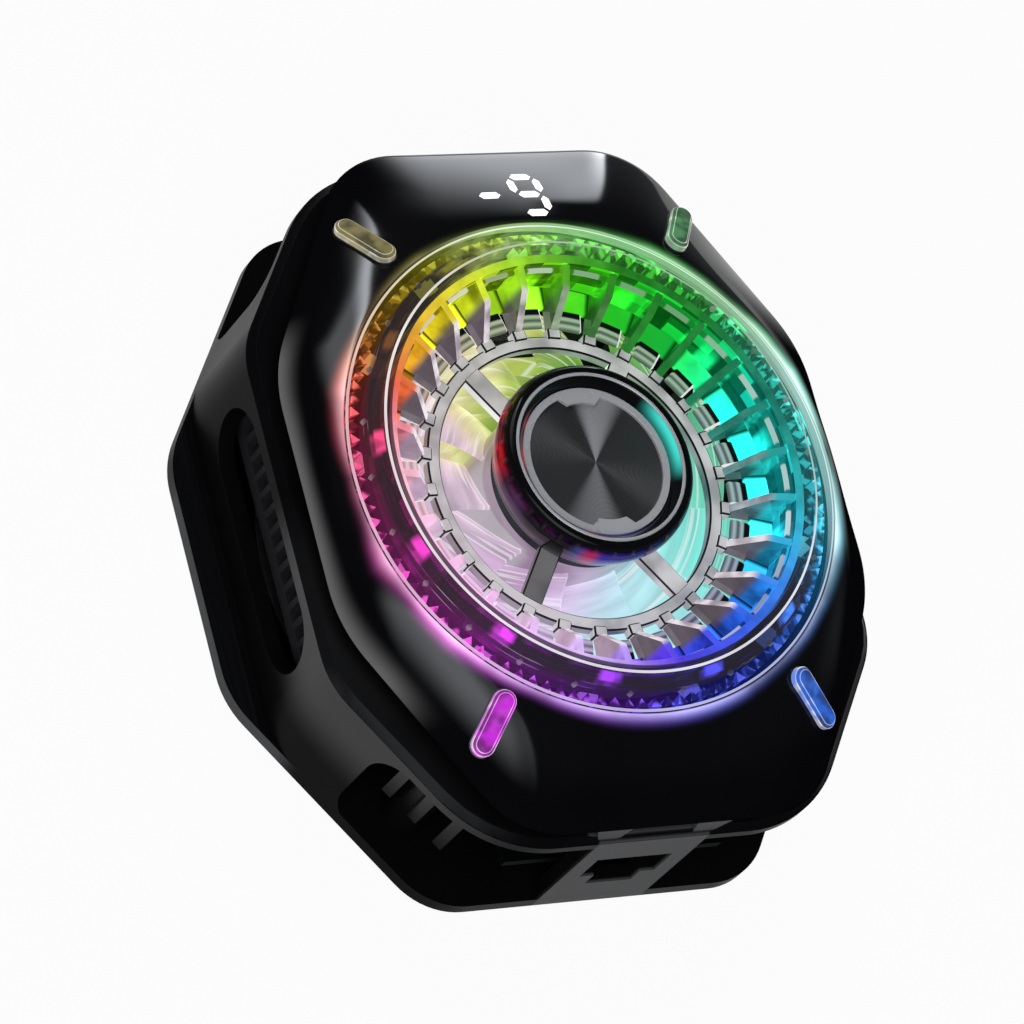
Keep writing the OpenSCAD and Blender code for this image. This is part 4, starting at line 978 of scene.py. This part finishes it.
def stadium(length, width, ends=10):
    straight = (length - width) / 2
    arc = [math.pi * (k / ends - 0.5) for k in range(ends + 1)]
    return ([(straight + width / 2 * math.cos(a), width / 2 * math.sin(a)) for a in arc]
            + [(-straight - width / 2 * math.cos(a), -width / 2 * math.sin(a)) for a in arc])


bars = bmesh.new()
for turn in SPOKES:
    x, y = math.cos(turn), math.sin(turn)
    z0, z1 = (cover_height(x * r, y * r) for r in (BAR_R - 2, BAR_R + 2))
    tilt = math.atan2(z0 - z1, 4)
    seat_at = (Matrix.Rotation(turn, 4, "Z") @ Matrix.Translation((BAR_R, 0, (z0 + z1) / 2))
               @ Matrix.Rotation(tilt, 4, "Y"))
    loops = []
    for inset, z, _ in BAR_LEVELS:
        ring = [seat_at @ Vector((px, py, z)) for px, py in stadium(BAR_L - 2 * inset, BAR_W - 2 * inset)]
        loops.append([bars.verts.new(p * MM) for p in ring])
    for strip, (_, _, slot_index) in zip(skin(bars, loops), BAR_LEVELS[1:]):
        for face in strip:
            face.material_index = slot_index
    bars.faces.new(loops[-1])
    bars.faces.new(loops[0][::-1])
piece("bar_pips", bars, [bar_top_finish, bar_edge_finish, bar_side_finish, line_finish], ["light_bars"],
      sharp=20)

# %% Readout segments
DIGIT_H, DIGIT_W, DIGIT_PITCH, SEGMENT_W, SEGMENT_GAP = 4.9, 3.0, 4.6, 0.84, 0.55
READOUT_X, READOUT_Y, PROUD, SEGMENT_DEPTH = -0.55, 30.95, 0.05, 1
segments = bmesh.new()


def add_segment(cx, cy, length, upright):
    """One pointed bar whose top lies on the cover."""
    w, h = SEGMENT_W / 2, length / 2
    flat = [(-h, 0), (-h + w, -w), (h - w, -w), (h, 0), (h - w, w), (-h + w, w)]
    if upright:
        flat = [(-py, px) for px, py in flat]
    spots = [(READOUT_X + cx + px, READOUT_Y + cy + py) for px, py in flat]
    top, low = ([segments.verts.new((x * MM, y * MM, (cover_height(x, y) + rise) * MM)) for x, y in spots]
                for rise in (PROUD, -SEGMENT_DEPTH))
    segments.faces.new(top)
    segments.faces.new(low[::-1])
    skin(segments, [low, top])


across, tall = DIGIT_W - SEGMENT_GAP, DIGIT_H / 2 - SEGMENT_GAP
add_segment(-DIGIT_PITCH / 2, 0, across, False)
for row in (-1, 0, 1):
    add_segment(DIGIT_PITCH / 2, row * DIGIT_H / 2, across, False)
for column, row in ((-1, 1), (1, 1), (1, -1)):
    add_segment(DIGIT_PITCH / 2 + column * DIGIT_W / 2, row * DIGIT_H / 4, tall, True)
piece("readout_segments", segments, [segment_finish], ["display_segments"])
print("segments lit: 7")

# %% [markdown]
# ## Hub
# The hub cap is a turned black dome with a bright trim ring in its rim. The badge is a spun metal
# disc: its fine circular marks spread a highlight into wedges, which is drawn by angle here, because
# a tangent-based highlight would be lost in the export. The disc is left bare.


# %% Hub finishes
def spun_metal():
    net, _, angle, radius, _ = start_round("spun_metal")
    wedge = toward(net, angle, 74, 0.9, 1.0) * 0.75 + toward(net, angle, 254, 0.86, 1.0) * 0.4
    side, lines = (angle * 2).take("COSINE"), (radius * 46).take("SINE")
    level = 0.035 + wedge * 0.5 + side * 0.012 + lines * 0.012
    return close(net, {
        "Base Color": net.colour(level, level, level * 1.02), "Metallic": 0.35,
        "Roughness": 0.3 + lines * 0.05, "Normal": net.bump(0.35, MARK_DEPTH, lines)})


def plated(name, level, rough, metal):
    net, place = start(name)
    cloud = net.noise(place, 300, 2)
    return close(net, {"Base Color": net.mix(cloud, (level * 0.85,) * 3, (level, level, level * 1.02)),
                       "Metallic": metal, "Roughness": rough + cloud * 0.06})


MARK_DEPTH = 0.00003
spun_finish = spun_metal()
trim_finish = plated("bright_trim", 0.62, 0.25, 0.2)


# Glints of the lamps on the cap's flank, by turns from -X: red on the left, red and blue nearest.
HUB_GLINTS = (
    (0.0, (0.25, 0, 0.01)), (0.02, (0.02, 0, 0.01)), (0.053, (0.05, 0.015, 0.06)), (0.09, (0, 0, 0)),
    (0.16, (0, 0, 0)), (0.178, (0.04, 0.04, 0.18)), (0.197, (0.4, 0.005, 0.06)), (0.215, (0.03, 0.02, 0.22)),
    (0.278, (0.02, 0.015, 0.14)), (0.32, (0, 0, 0.02)), (0.36, (0, 0, 0)), (0.88, (0, 0, 0)),
    (0.906, (0.33, 0.012, 0.03)), (0.93, (0.04, 0, 0.01)), (0.955, (0.15, 0, 0.01)), (0.981, (0.75, 0, 0.005)),
    (1.0, (0.25, 0, 0.01)))


def hub_black():
    net, place, angle, radius, height = start_round("hub_black")
    smear, cloud = net.noise(place, 120), net.noise(place, 260, 2)
    flank = net.step(height, 22.4, 23.6) * (1 - net.step(height, 25.4, 26.2)) * net.step(cloud, 0.2, 0.5)
    # A painted cyan reflection on the cap's inner slope, towards 12 degrees.
    inside = net.step(radius, 9.1, 8.95) * (0.2 + net.step(radius, 8.2, 8.9) * 0.8)
    inside = inside * toward(net, angle, 12, 0.84, 1.0)
    light = net.mix(flank, (0, 0, 0), net.ramp(turns_from_left(angle), *HUB_GLINTS))
    return close(net, {
        "Base Color": net.mix(smear, (0.003, 0.003, 0.0035), (0.006, 0.006, 0.007)),
        "Roughness": 0.06 + smear * 0.05, "Specular IOR Level": 0.2,
        "Emission Color": net.mix(inside, light, (0.06, 0.75, 0.65)), "Emission Strength": 1.0})


hub_finish = hub_black()
print("hub finishes made")

# %% Hub cap, trim and disc
HUB_RIM_Z, HUB_BELLY_Z, TRIM_R, TRIM_W, BADGE_R, BADGE_Z = 26.7, 24.6, 9.2, 0.36, 8.15, 24.7
DISC_T, GROOVE_D = 0.6, 0.4
groove_r, groove_z, disc_top = TRIM_R + TRIM_W / 2, HUB_RIM_Z - GROOVE_D, BADGE_Z + DISC_T
groove_in = groove_r - TRIM_W
cap_profile = [(0, HUB_PLATE_TOP), (CAP_BASE_R, HUB_PLATE_TOP), (CAP_BASE_R + 0.12, HUB_PLATE_TOP + 0.15),
               (HUB_R - 0.35, HUB_BELLY_Z - 1.4)]
cap_profile += [(HUB_R - (HUB_R - groove_r - 0.3) * (1 - math.cos(a)) * 0.9,
                 HUB_BELLY_Z + (HUB_RIM_Z - HUB_BELLY_Z) * math.sin(a))
                for a in (math.radians(6 * k) for k in range(16))]
cap_profile += [(groove_r + 0.03, HUB_RIM_Z), (groove_r, HUB_RIM_Z - 0.05), (groove_r, groove_z),
                (groove_in, groove_z), (groove_in, HUB_RIM_Z - 0.12), (groove_in - 0.1, HUB_RIM_Z - 0.2),
                (BADGE_R + 0.12, 25.6), (BADGE_R + 0.1, BADGE_Z), (0, BADGE_Z)]
trim = [(groove_in, groove_z), (groove_r, groove_z), (groove_r, HUB_RIM_Z - 0.06), (groove_r - 0.08, HUB_RIM_Z),
        (groove_in + 0.08, HUB_RIM_Z), (groove_in, HUB_RIM_Z - 0.06)]
disc = [(0, BADGE_Z), (BADGE_R, BADGE_Z), (BADGE_R, disc_top - 0.1), (BADGE_R - 0.1, disc_top), (0, disc_top)]
for name, profile, finish, node, slot in (
        ("hub_dome", cap_profile, hub_finish, "hub_cap", "cover_gloss"),
        ("hub_trim", trim, trim_finish, "hub_trim_ring", "bright_trim"),
        ("badge_plate", disc, spun_finish, "badge_disc", "spun_metal")):
    piece(name, turned(profile, 160), [finish], [node])
print("hub height:", round(HUB_RIM_Z - HUB_PLATE_TOP, 2))

# %% [markdown]
# The badge's ring has two flared tabs that reach inwards. A small bevelled section is carried round
# the axis, and its inner edge moves in at each tab, with extra turns where a tab begins and ends so
# that its corners stay sharp. The bevel catches the light.

# %% Badge ring
BADGE_IN, TAB_DEPTH, TAB_HALF, TAB_FLARE, BADGE_TOP, BADGE_CUT = 7.35, 0.9, 1.8, 0.6, 25.65, 0.06
ARC = 96


def inner_radius(a):
    """Inner edge of the badge ring at an angle measured from +Y."""
    off = abs((a + math.pi / 2) % math.pi - math.pi / 2)
    along = BADGE_IN * math.sin(off)
    lean = min(1.0, max(0.0, (TAB_HALF + TAB_FLARE - along) / TAB_FLARE))
    return BADGE_IN - TAB_DEPTH * lean / max(0.2, math.cos(off))


badge = bmesh.new()
turns = sorted({round(2 * math.pi * k / ARC, 6) for k in range(ARC)}
               | {round(base + side * math.asin(d / BADGE_IN), 6) % (2 * math.pi)
                  for base in (0, math.pi) for side in (-1, 1) for d in (TAB_HALF, TAB_HALF + TAB_FLARE)})
loops = []
for a in turns:
    point = Vector((math.sin(a), math.cos(a), 0))
    profile = bevelled_ring(inner_radius(a), BADGE_R, disc_top, BADGE_TOP, BADGE_CUT)
    loops.append([badge.verts.new((point * r + Vector((0, 0, z))) * MM) for r, z in profile])
skin(badge, loops + loops[:1])
piece("badge_bezel", badge, [trim_finish], ["badge_ring"])
print("badge ring points:", len(turns))

# %% [markdown]
# ## Fan
# Behind the guard the fan is milky clear plastic, and the ring's light on it is painted as a pastel
# glow. Each blade is a lofted aerofoil with twist and sweep, one formula from root to tip, and the
# tree above sets the blades round the hub. Everything here rides on the rotor, so it turns with the
# joint.


# %% Fan finish
# The fan's pastel light by turns from -X, as the ring's colours are.
FAN_COLOURS = (
    (0.0, (0.62, 0.47, 0.6)), (0.022, (0.55, 0.43, 0.55)), (0.14, (0.55, 0.34, 0.58)),
    (0.205, (0.74, 0.6, 0.87)), (0.267, (0.55, 0.8, 0.92)), (0.34, (0.46, 0.82, 0.87)),
    (0.45, (0.2, 0.74, 0.66)), (0.52, (0.18, 0.66, 0.52)), (0.61, (0.1, 0.46, 0.26)),
    (0.72, (0.13, 0.36, 0.04)), (0.78, (0.42, 0.5, 0.1)), (0.82, (0.86, 0.84, 0.4)),
    (0.865, (0.7, 0.6, 0.36)), (0.9, (0.72, 0.54, 0.56)), (0.94, (0.7, 0.52, 0.65)),
    (1.0, (0.62, 0.47, 0.6)))


def milky(name, strength, below):
    """The ring's light painted on the fan as a swirl of pastel glow, or painted on what lies below it and dark
    elsewhere.
    """
    net, _, angle, radius, height = start_round(name)
    tint = net.ramp(turns_from_left(angle + (radius - 13) * 0.06), *FAN_COLOURS)
    c, s = angle.take("COSINE"), angle.take("SINE")
    arcs = net.vector(radius * 2.3 + c * 1.6, c * 0.9, s * 0.9)
    patches = net.vector(radius * 0.55 + s, c * 1.3, s * 1.3)
    white, broad = net.step(net.noise(arcs, 1.0, 1), 0.54, 0.66), net.noise(patches, 1.0, 2)
    tint = net.mix(1.0, tint, net.ramp(broad, (0.3, (0.78,) * 3), (0.7, (1.3,) * 3)), "MULTIPLY")
    glow = net.mix(white * 0.65, tint, net.mix(0.7, tint, (1, 1, 1)))
    base = net.mix(white, (0.02, 0.03, 0.03), (0.06, 0.07, 0.07))
    if below:
        inside = (1 - net.step(radius, 19.0, 20.4)) * net.step(height, 7.2, 7.5)
        base, glow = (0.03, 0.03, 0.033, 1), net.mix(inside, (0, 0, 0), glow)
    return close(net, {"Base Color": base, "Roughness": 0.3, "Specular IOR Level": 0.1,
                       "Emission Color": glow, "Emission Strength": strength})


# The fan's hub glows at about half the blades' strength: painted shade under the hub cap.
fan_finish, fan_hub_finish = milky("milky_fan", 0.9, False), milky("milky_hub", 0.5, False)
under_fan_finish = milky("lit_fins", 0.85, True)
print("fan finish made")

# %% Blades and fan hub
FAN_Z, FAN_H, FAN_HUB_R, FAN_R, BLADES = 11.3, 7.9, 9.6, 21.4, 11
ROOT_R, CAMBER, SPANS, CHORDS = FAN_HUB_R - 0.45, 0.09, 12, 12
PITCH_ROOT, PITCH_TIP, SWEEP = (math.radians(a) for a in (40, 27, 16))


def blade_point(t, u, side):
    """A point of one blade: t from root to tip, u along the chord, side above or below."""
    r = ROOT_R + (FAN_R - ROOT_R) * t
    pitch = PITCH_ROOT + (PITCH_TIP - PITCH_ROOT) * t
    half = (FAN_H / 2 - 0.5) / math.sin(PITCH_ROOT) * (1 + 0.15 * t)
    bow = CAMBER * half * (1 - u * u) + (0.45 + 0.55 * (1 - u * u)) / 2 * side
    along = u * half * math.cos(pitch) - bow * math.sin(pitch)
    lift = u * half * math.sin(pitch) + bow * math.cos(pitch)
    turn = along / r + SWEEP * t * t
    return Vector((r * math.cos(turn), r * math.sin(turn), FAN_Z + FAN_H / 2 + lift)) * MM


blade = bmesh.new()
shares = [2 * k / CHORDS - 1 for k in range(CHORDS + 1)]
around = [(u, 1) for u in shares] + [(u, -1) for u in reversed(shares)]
spans = [[blade.verts.new(blade_point(s / SPANS, u, side)) for u, side in around] for s in range(SPANS + 1)]
skin(blade, spans)
blade.faces.new(spans[0][::-1])
blade.faces.new(spans[-1])
bmesh.ops.recalc_face_normals(blade, faces=blade.faces)
grow("fan_blades", copies_tree, {
    "Shape": pattern("blade_shape", blade), "Count": BLADES, "First turn": 0.0,
    "Finish": fan_finish, "Edge finish": fan_finish}, ["impeller"], "rotor", 40)
CUP_IN, CUP_TOP, SHAFT_R = 8.7, 18.0, 1.0
BOSS_R, fan_top = 2.2, FAN_Z + FAN_H
hub_profile = [(SHAFT_R, CUP_TOP - 1), (BOSS_R, CUP_TOP - 1), (BOSS_R, CUP_TOP), (CUP_IN, CUP_TOP),
               (CUP_IN, FAN_Z), (FAN_HUB_R, FAN_Z), (FAN_HUB_R, fan_top - 0.6),
               (FAN_HUB_R - 0.2, fan_top - 0.15), (FAN_HUB_R - 0.6, fan_top), (SHAFT_R, fan_top)]
piece("fan_hub", turned(hub_profile, 128), [fan_hub_finish], ["impeller"], "rotor")

# %% [markdown]
# ## Housing, base and neck
# These shapes are right in the CAD model, but its facets are sharp. A copy of each is merged, its
# flat triangles are joined into whole faces, and a fine bevel rounds the edges as a mould does. The
# copy stands in for the node; the node itself is left alone.


# %% Softened copies of the black body
def softened(node, name, finish, edge, width, angle=32):
    """A merged copy of a CAD node with bevelled edges."""
    bm = bmesh.new()
    bm.from_mesh(cad[node].data)
    bmesh.ops.remove_doubles(bm, verts=bm.verts, dist=1e-6)
    bmesh.ops.dissolve_limit(bm, angle_limit=math.radians(0.6), verts=bm.verts, edges=bm.edges)
    mesh = bpy.data.meshes.new(name)
    bm.to_mesh(mesh)
    bm.free()
    mesh.materials.clear()
    for material in (finish, edge):
        mesh.materials.append(material)
    mesh.shade_smooth()
    mesh.set_sharp_from_angle(angle=math.radians(angle))
    obj = bpy.data.objects.new(name, mesh)
    tie(obj, [node])
    bevel = obj.modifiers.new("mould radius", "BEVEL")
    bevel.width, bevel.segments, bevel.limit_method = width * MM, 2, "ANGLE"
    bevel.angle_limit, bevel.harden_normals = math.radians(angle), True
    bevel.use_clamp_overlap, bevel.material = True, 1
    print(name, "faces:", len(mesh.polygons))
    return obj


softened("rear_housing", "housing_shell", body_finish, edge_finish, 0.3)
softened("base_plate", "base_shell", body_finish, edge_finish, 0.2)
softened("mid_frame", "neck_shell", frame_finish, frame_finish, 0.15)

# %% [markdown]
# ## Everything inside
# The inner pieces keep their CAD shape and get the finish of what they are made of: machined and
# anodised aluminium, soft pads, ceramic, plated steel, sintered brass, enamelled wire, boards and
# chips. The heat sink and the motor base instead take the fan's light, painted on, and the port's
# shell is painted dark as shade. Each is one short formula with its own grain and scale.


# %% Finishes of the inner pieces
def metal(name, colour, rough, scale, stretch=(1, 1, 1)):
    net, place = start(name)
    drawn = net.make("ShaderNodeMapping", None, {"Vector": place, "Scale": stretch})
    grain = net.noise(drawn, scale, 3)
    dark = tuple(c * 0.8 for c in colour)
    return close(net, {"Base Color": net.mix(grain, dark, colour), "Metallic": 1.0,
                       "Roughness": rough + grain * 0.12})


def board(name, colour, track):
    net, place = start(name)
    cells = net.make("ShaderNodeTexVoronoi", {"distance": "MANHATTAN"}, {"Vector": place, "Scale": 420},
                     "Distance")
    return close(net, {"Base Color": net.mix(net.step(cells, 0.42, 0.5), colour, track),
                       "Roughness": 0.5 + cells * 0.1, "Specular IOR Level": 0.02})


def turned_metal(name, level, rough):
    net, _, _, radius, _ = start_round(name)
    marks = (radius * 40).take("SINE")
    shade = level + marks * 0.02
    return close(net, {"Base Color": net.colour(shade, shade, shade * 1.02), "Metallic": 1.0,
                       "Roughness": rough, "Normal": net.bump(0.2, MARK_DEPTH, marks)})


def lamp_finish():
    net, place, angle, _, _ = start_round("lamp")
    cloud = net.noise(place, 900, 1)
    return close(net, {
        "Base Color": (0.5, 0.5, 0.4, 1), "Roughness": 0.3,
        "Emission Color": rainbow(net, angle, 0.9, 0.8 + cloud * 0.3), "Emission Strength": 1.0})


inner = {
    "aluminium": turned_metal("turned_aluminium", 0.72, 0.28),
    "sink_aluminium": under_fan_finish,
    "pad_rubber": grained("thermal_pad", (0.07, 0.07, 0.075), (0.1, 0.1, 0.11), 0.75, 0.2, 3000, 0.3),
    "foam": grained("foam", (0.02, 0.02, 0.02), (0.035, 0.035, 0.035), 0.9, 0.1, 1800, 0.6),
    "ceramic": grained("ceramic", (0.74, 0.74, 0.72), (0.82, 0.82, 0.8), 0.45, 0.4, 2400, 0.1),
    "magnet_nickel": metal("nickel", (0.6, 0.58, 0.55), 0.22, 500),
    "ferrite": grained("ferrite", (0.04, 0.04, 0.044), (0.07, 0.07, 0.075), 0.6, 0.3, 2600, 0.3),
    "steel": metal("plain_steel", (0.52, 0.52, 0.53), 0.28, 700, (1, 1, 0.15)),
    "screw_steel": metal("dark_zinc", (0.22, 0.22, 0.23), 0.3, 800),
    "board_green": board("dark_board", (0.0008, 0.0012, 0.001), (0.0015, 0.0025, 0.002)),
    "board_white": board("lamp_board", (0.012, 0.012, 0.014), (0.03, 0.03, 0.034)),
    "chip_black": grained("moulded_chip", (0.012, 0.012, 0.013), (0.024, 0.024, 0.026), 0.5, 0.3, 3200, 0.2),
    "bearing_brass": metal("sintered_brass", (0.6, 0.43, 0.18), 0.4, 1200),
    "copper": metal("enamelled_wire", (0.5, 0.2, 0.08), 0.25, 1500, (0.2, 0.2, 3)),
    "frame_black": frame_finish,
    "led": lamp_finish(),
}
# Two nodes look unlike the rest of their slot: one takes the fan's light, painted on it, and one deep in the
# port is painted dark as shade.
special = {"motor_base": under_fan_finish,
           "usb_receptacle": metal("port_shell_painted_shade", (0.04, 0.04, 0.042), 0.4, 700)}
slots = {part["node"]: part["material_slot"] for part in frame["record"]["subparts"]}
dressed = 0
for name, obj in cad.items():
    if slots.get(name) in inner and not obj.hide_render:
        obj.material_slots[0].material = special.get(name, inner[slots[name]])
        dressed += 1
print("inner pieces dressed:", dressed)

# %% [markdown]
# ## Floor, light and surroundings
# The floor is white for the camera and in reflections, and still takes the cooler's shadow. The
# surroundings are dark, with three bright panes painted by direction, each sharp at one edge and
# soft at the other. The gloss cover mirrors them in long streaks and stays black elsewhere. One key
# light, hidden from reflections, lights the satin body.


# %% Floor and world
def white_floor():
    net, place = start("white_floor")
    cloud = net.noise(place, 3)
    seen = net.make("ShaderNodeLightPath")
    factor = (seen["Is Camera Ray"] + seen["Is Glossy Ray"] + seen["Is Transmission Ray"]) * 0.95
    white = net.mix(cloud, (0.86, 0.86, 0.86), (0.9, 0.9, 0.9))
    paint = net.make("ShaderNodeBsdfDiffuse", None, {"Color": white})
    glow = net.make("ShaderNodeEmission", None, {"Color": (1, 1, 1, 1), "Strength": 1.0})
    return show(net, net.make("ShaderNodeMixShader", None, {0: factor, 1: paint, 2: glow}))


ground = bmesh.new()
bmesh.ops.create_grid(ground, x_segments=1, y_segments=1, size=3)
ground_mesh = bpy.data.meshes.new("floor")
ground.to_mesh(ground_mesh)
ground.free()
ground_mesh.materials.append(white_floor())
floor = bpy.data.objects.new("floor", ground_mesh)
scene.collection.objects.link(floor)

world = bpy.data.worlds.new("studio")
world.use_nodes = True
world.node_tree.nodes.clear()
sky = Net(world.node_tree)
way = sky.make("ShaderNodeSeparateXYZ", None, {0: sky.make("ShaderNodeTexCoord", None, None, "Generated")})
x, y, z = way["X"], way["Y"], way["Z"]
aslant, slant = x - y * 0.48, x + y * 0.9
# A low window at the readout end, a higher slanting pane that the left slope mirrors, and a dim pane
# high over the port end.
window = sky.step(aslant, 0.225, 0.2) * sky.step(aslant, -0.3, 0.25) ** 1.5
window = window * (1 + sky.step(aslant, 0.1, 0.19) * 0.6)
window = window * sky.step(z, 0.65, 0.0) * sky.step(z, -0.1, 0.05) * sky.step(y, 0.2, 0.5)
window = window * (1 - sky.step(x, 0.48, 0.52) * sky.step(z, 0.4, 0.46))
left_pane = sky.step(slant, 0.765, 0.735) * (0.25 + sky.step(slant, 0.6, 0.74) ** 2) * sky.step(x, -0.6, -0.2)
left_pane = left_pane * sky.step(y, 0.35, 0.6) * sky.step(y, 0.84, 0.78) * sky.step(z, 0.35, 0.6)
near_pane = sky.step(x, 0.165, 0.135) * sky.step(x, -0.9, -0.2) * (0.35 + sky.step(x, 0.1, -0.1) * 0.65)
near_pane = near_pane * sky.step(y, 0.05, -0.1) * sky.step(z, 0.5, 0.8)
level_light = window * 8.5 + left_pane * 7 + near_pane * 2.4 + (1 - sky.step(z, 0.0, 0.5)) * 0.15 + 0.03
shade = sky.colour(level_light * 0.96, level_light, level_light * 1.06)
background = sky.make("ShaderNodeBackground", None, {"Color": shade, "Strength": 1.0})
sky.make("ShaderNodeOutputWorld", None, {"Surface": background})
scene.world = world
print("floor and world made")

# %% Key light
KEY_AWAY, KEY_DISTANCE, KEY_SIDE, KEY_RADIANCE, AIM_Z = (-0.75, -0.62, 0.5), 0.9, 0.5, 2.5, 0.02
key_data = bpy.data.lights.new("key_box", "AREA")
key_data.shape, key_data.size, key_data.size_y = "RECTANGLE", KEY_SIDE, KEY_SIDE
key_data.energy = KEY_RADIANCE * math.pi * KEY_SIDE ** 2
key = bpy.data.objects.new("key_box", key_data)
away = Vector(KEY_AWAY).normalized()
key.matrix_world = (Matrix.Translation(away * KEY_DISTANCE + Vector((0, 0, AIM_Z)))
                    @ away.to_track_quat("Z", "Y").to_matrix().to_4x4())
key.visible_glossy = False
scene.collection.objects.link(key)
print("key light in watts:", round(key_data.energy, 2))
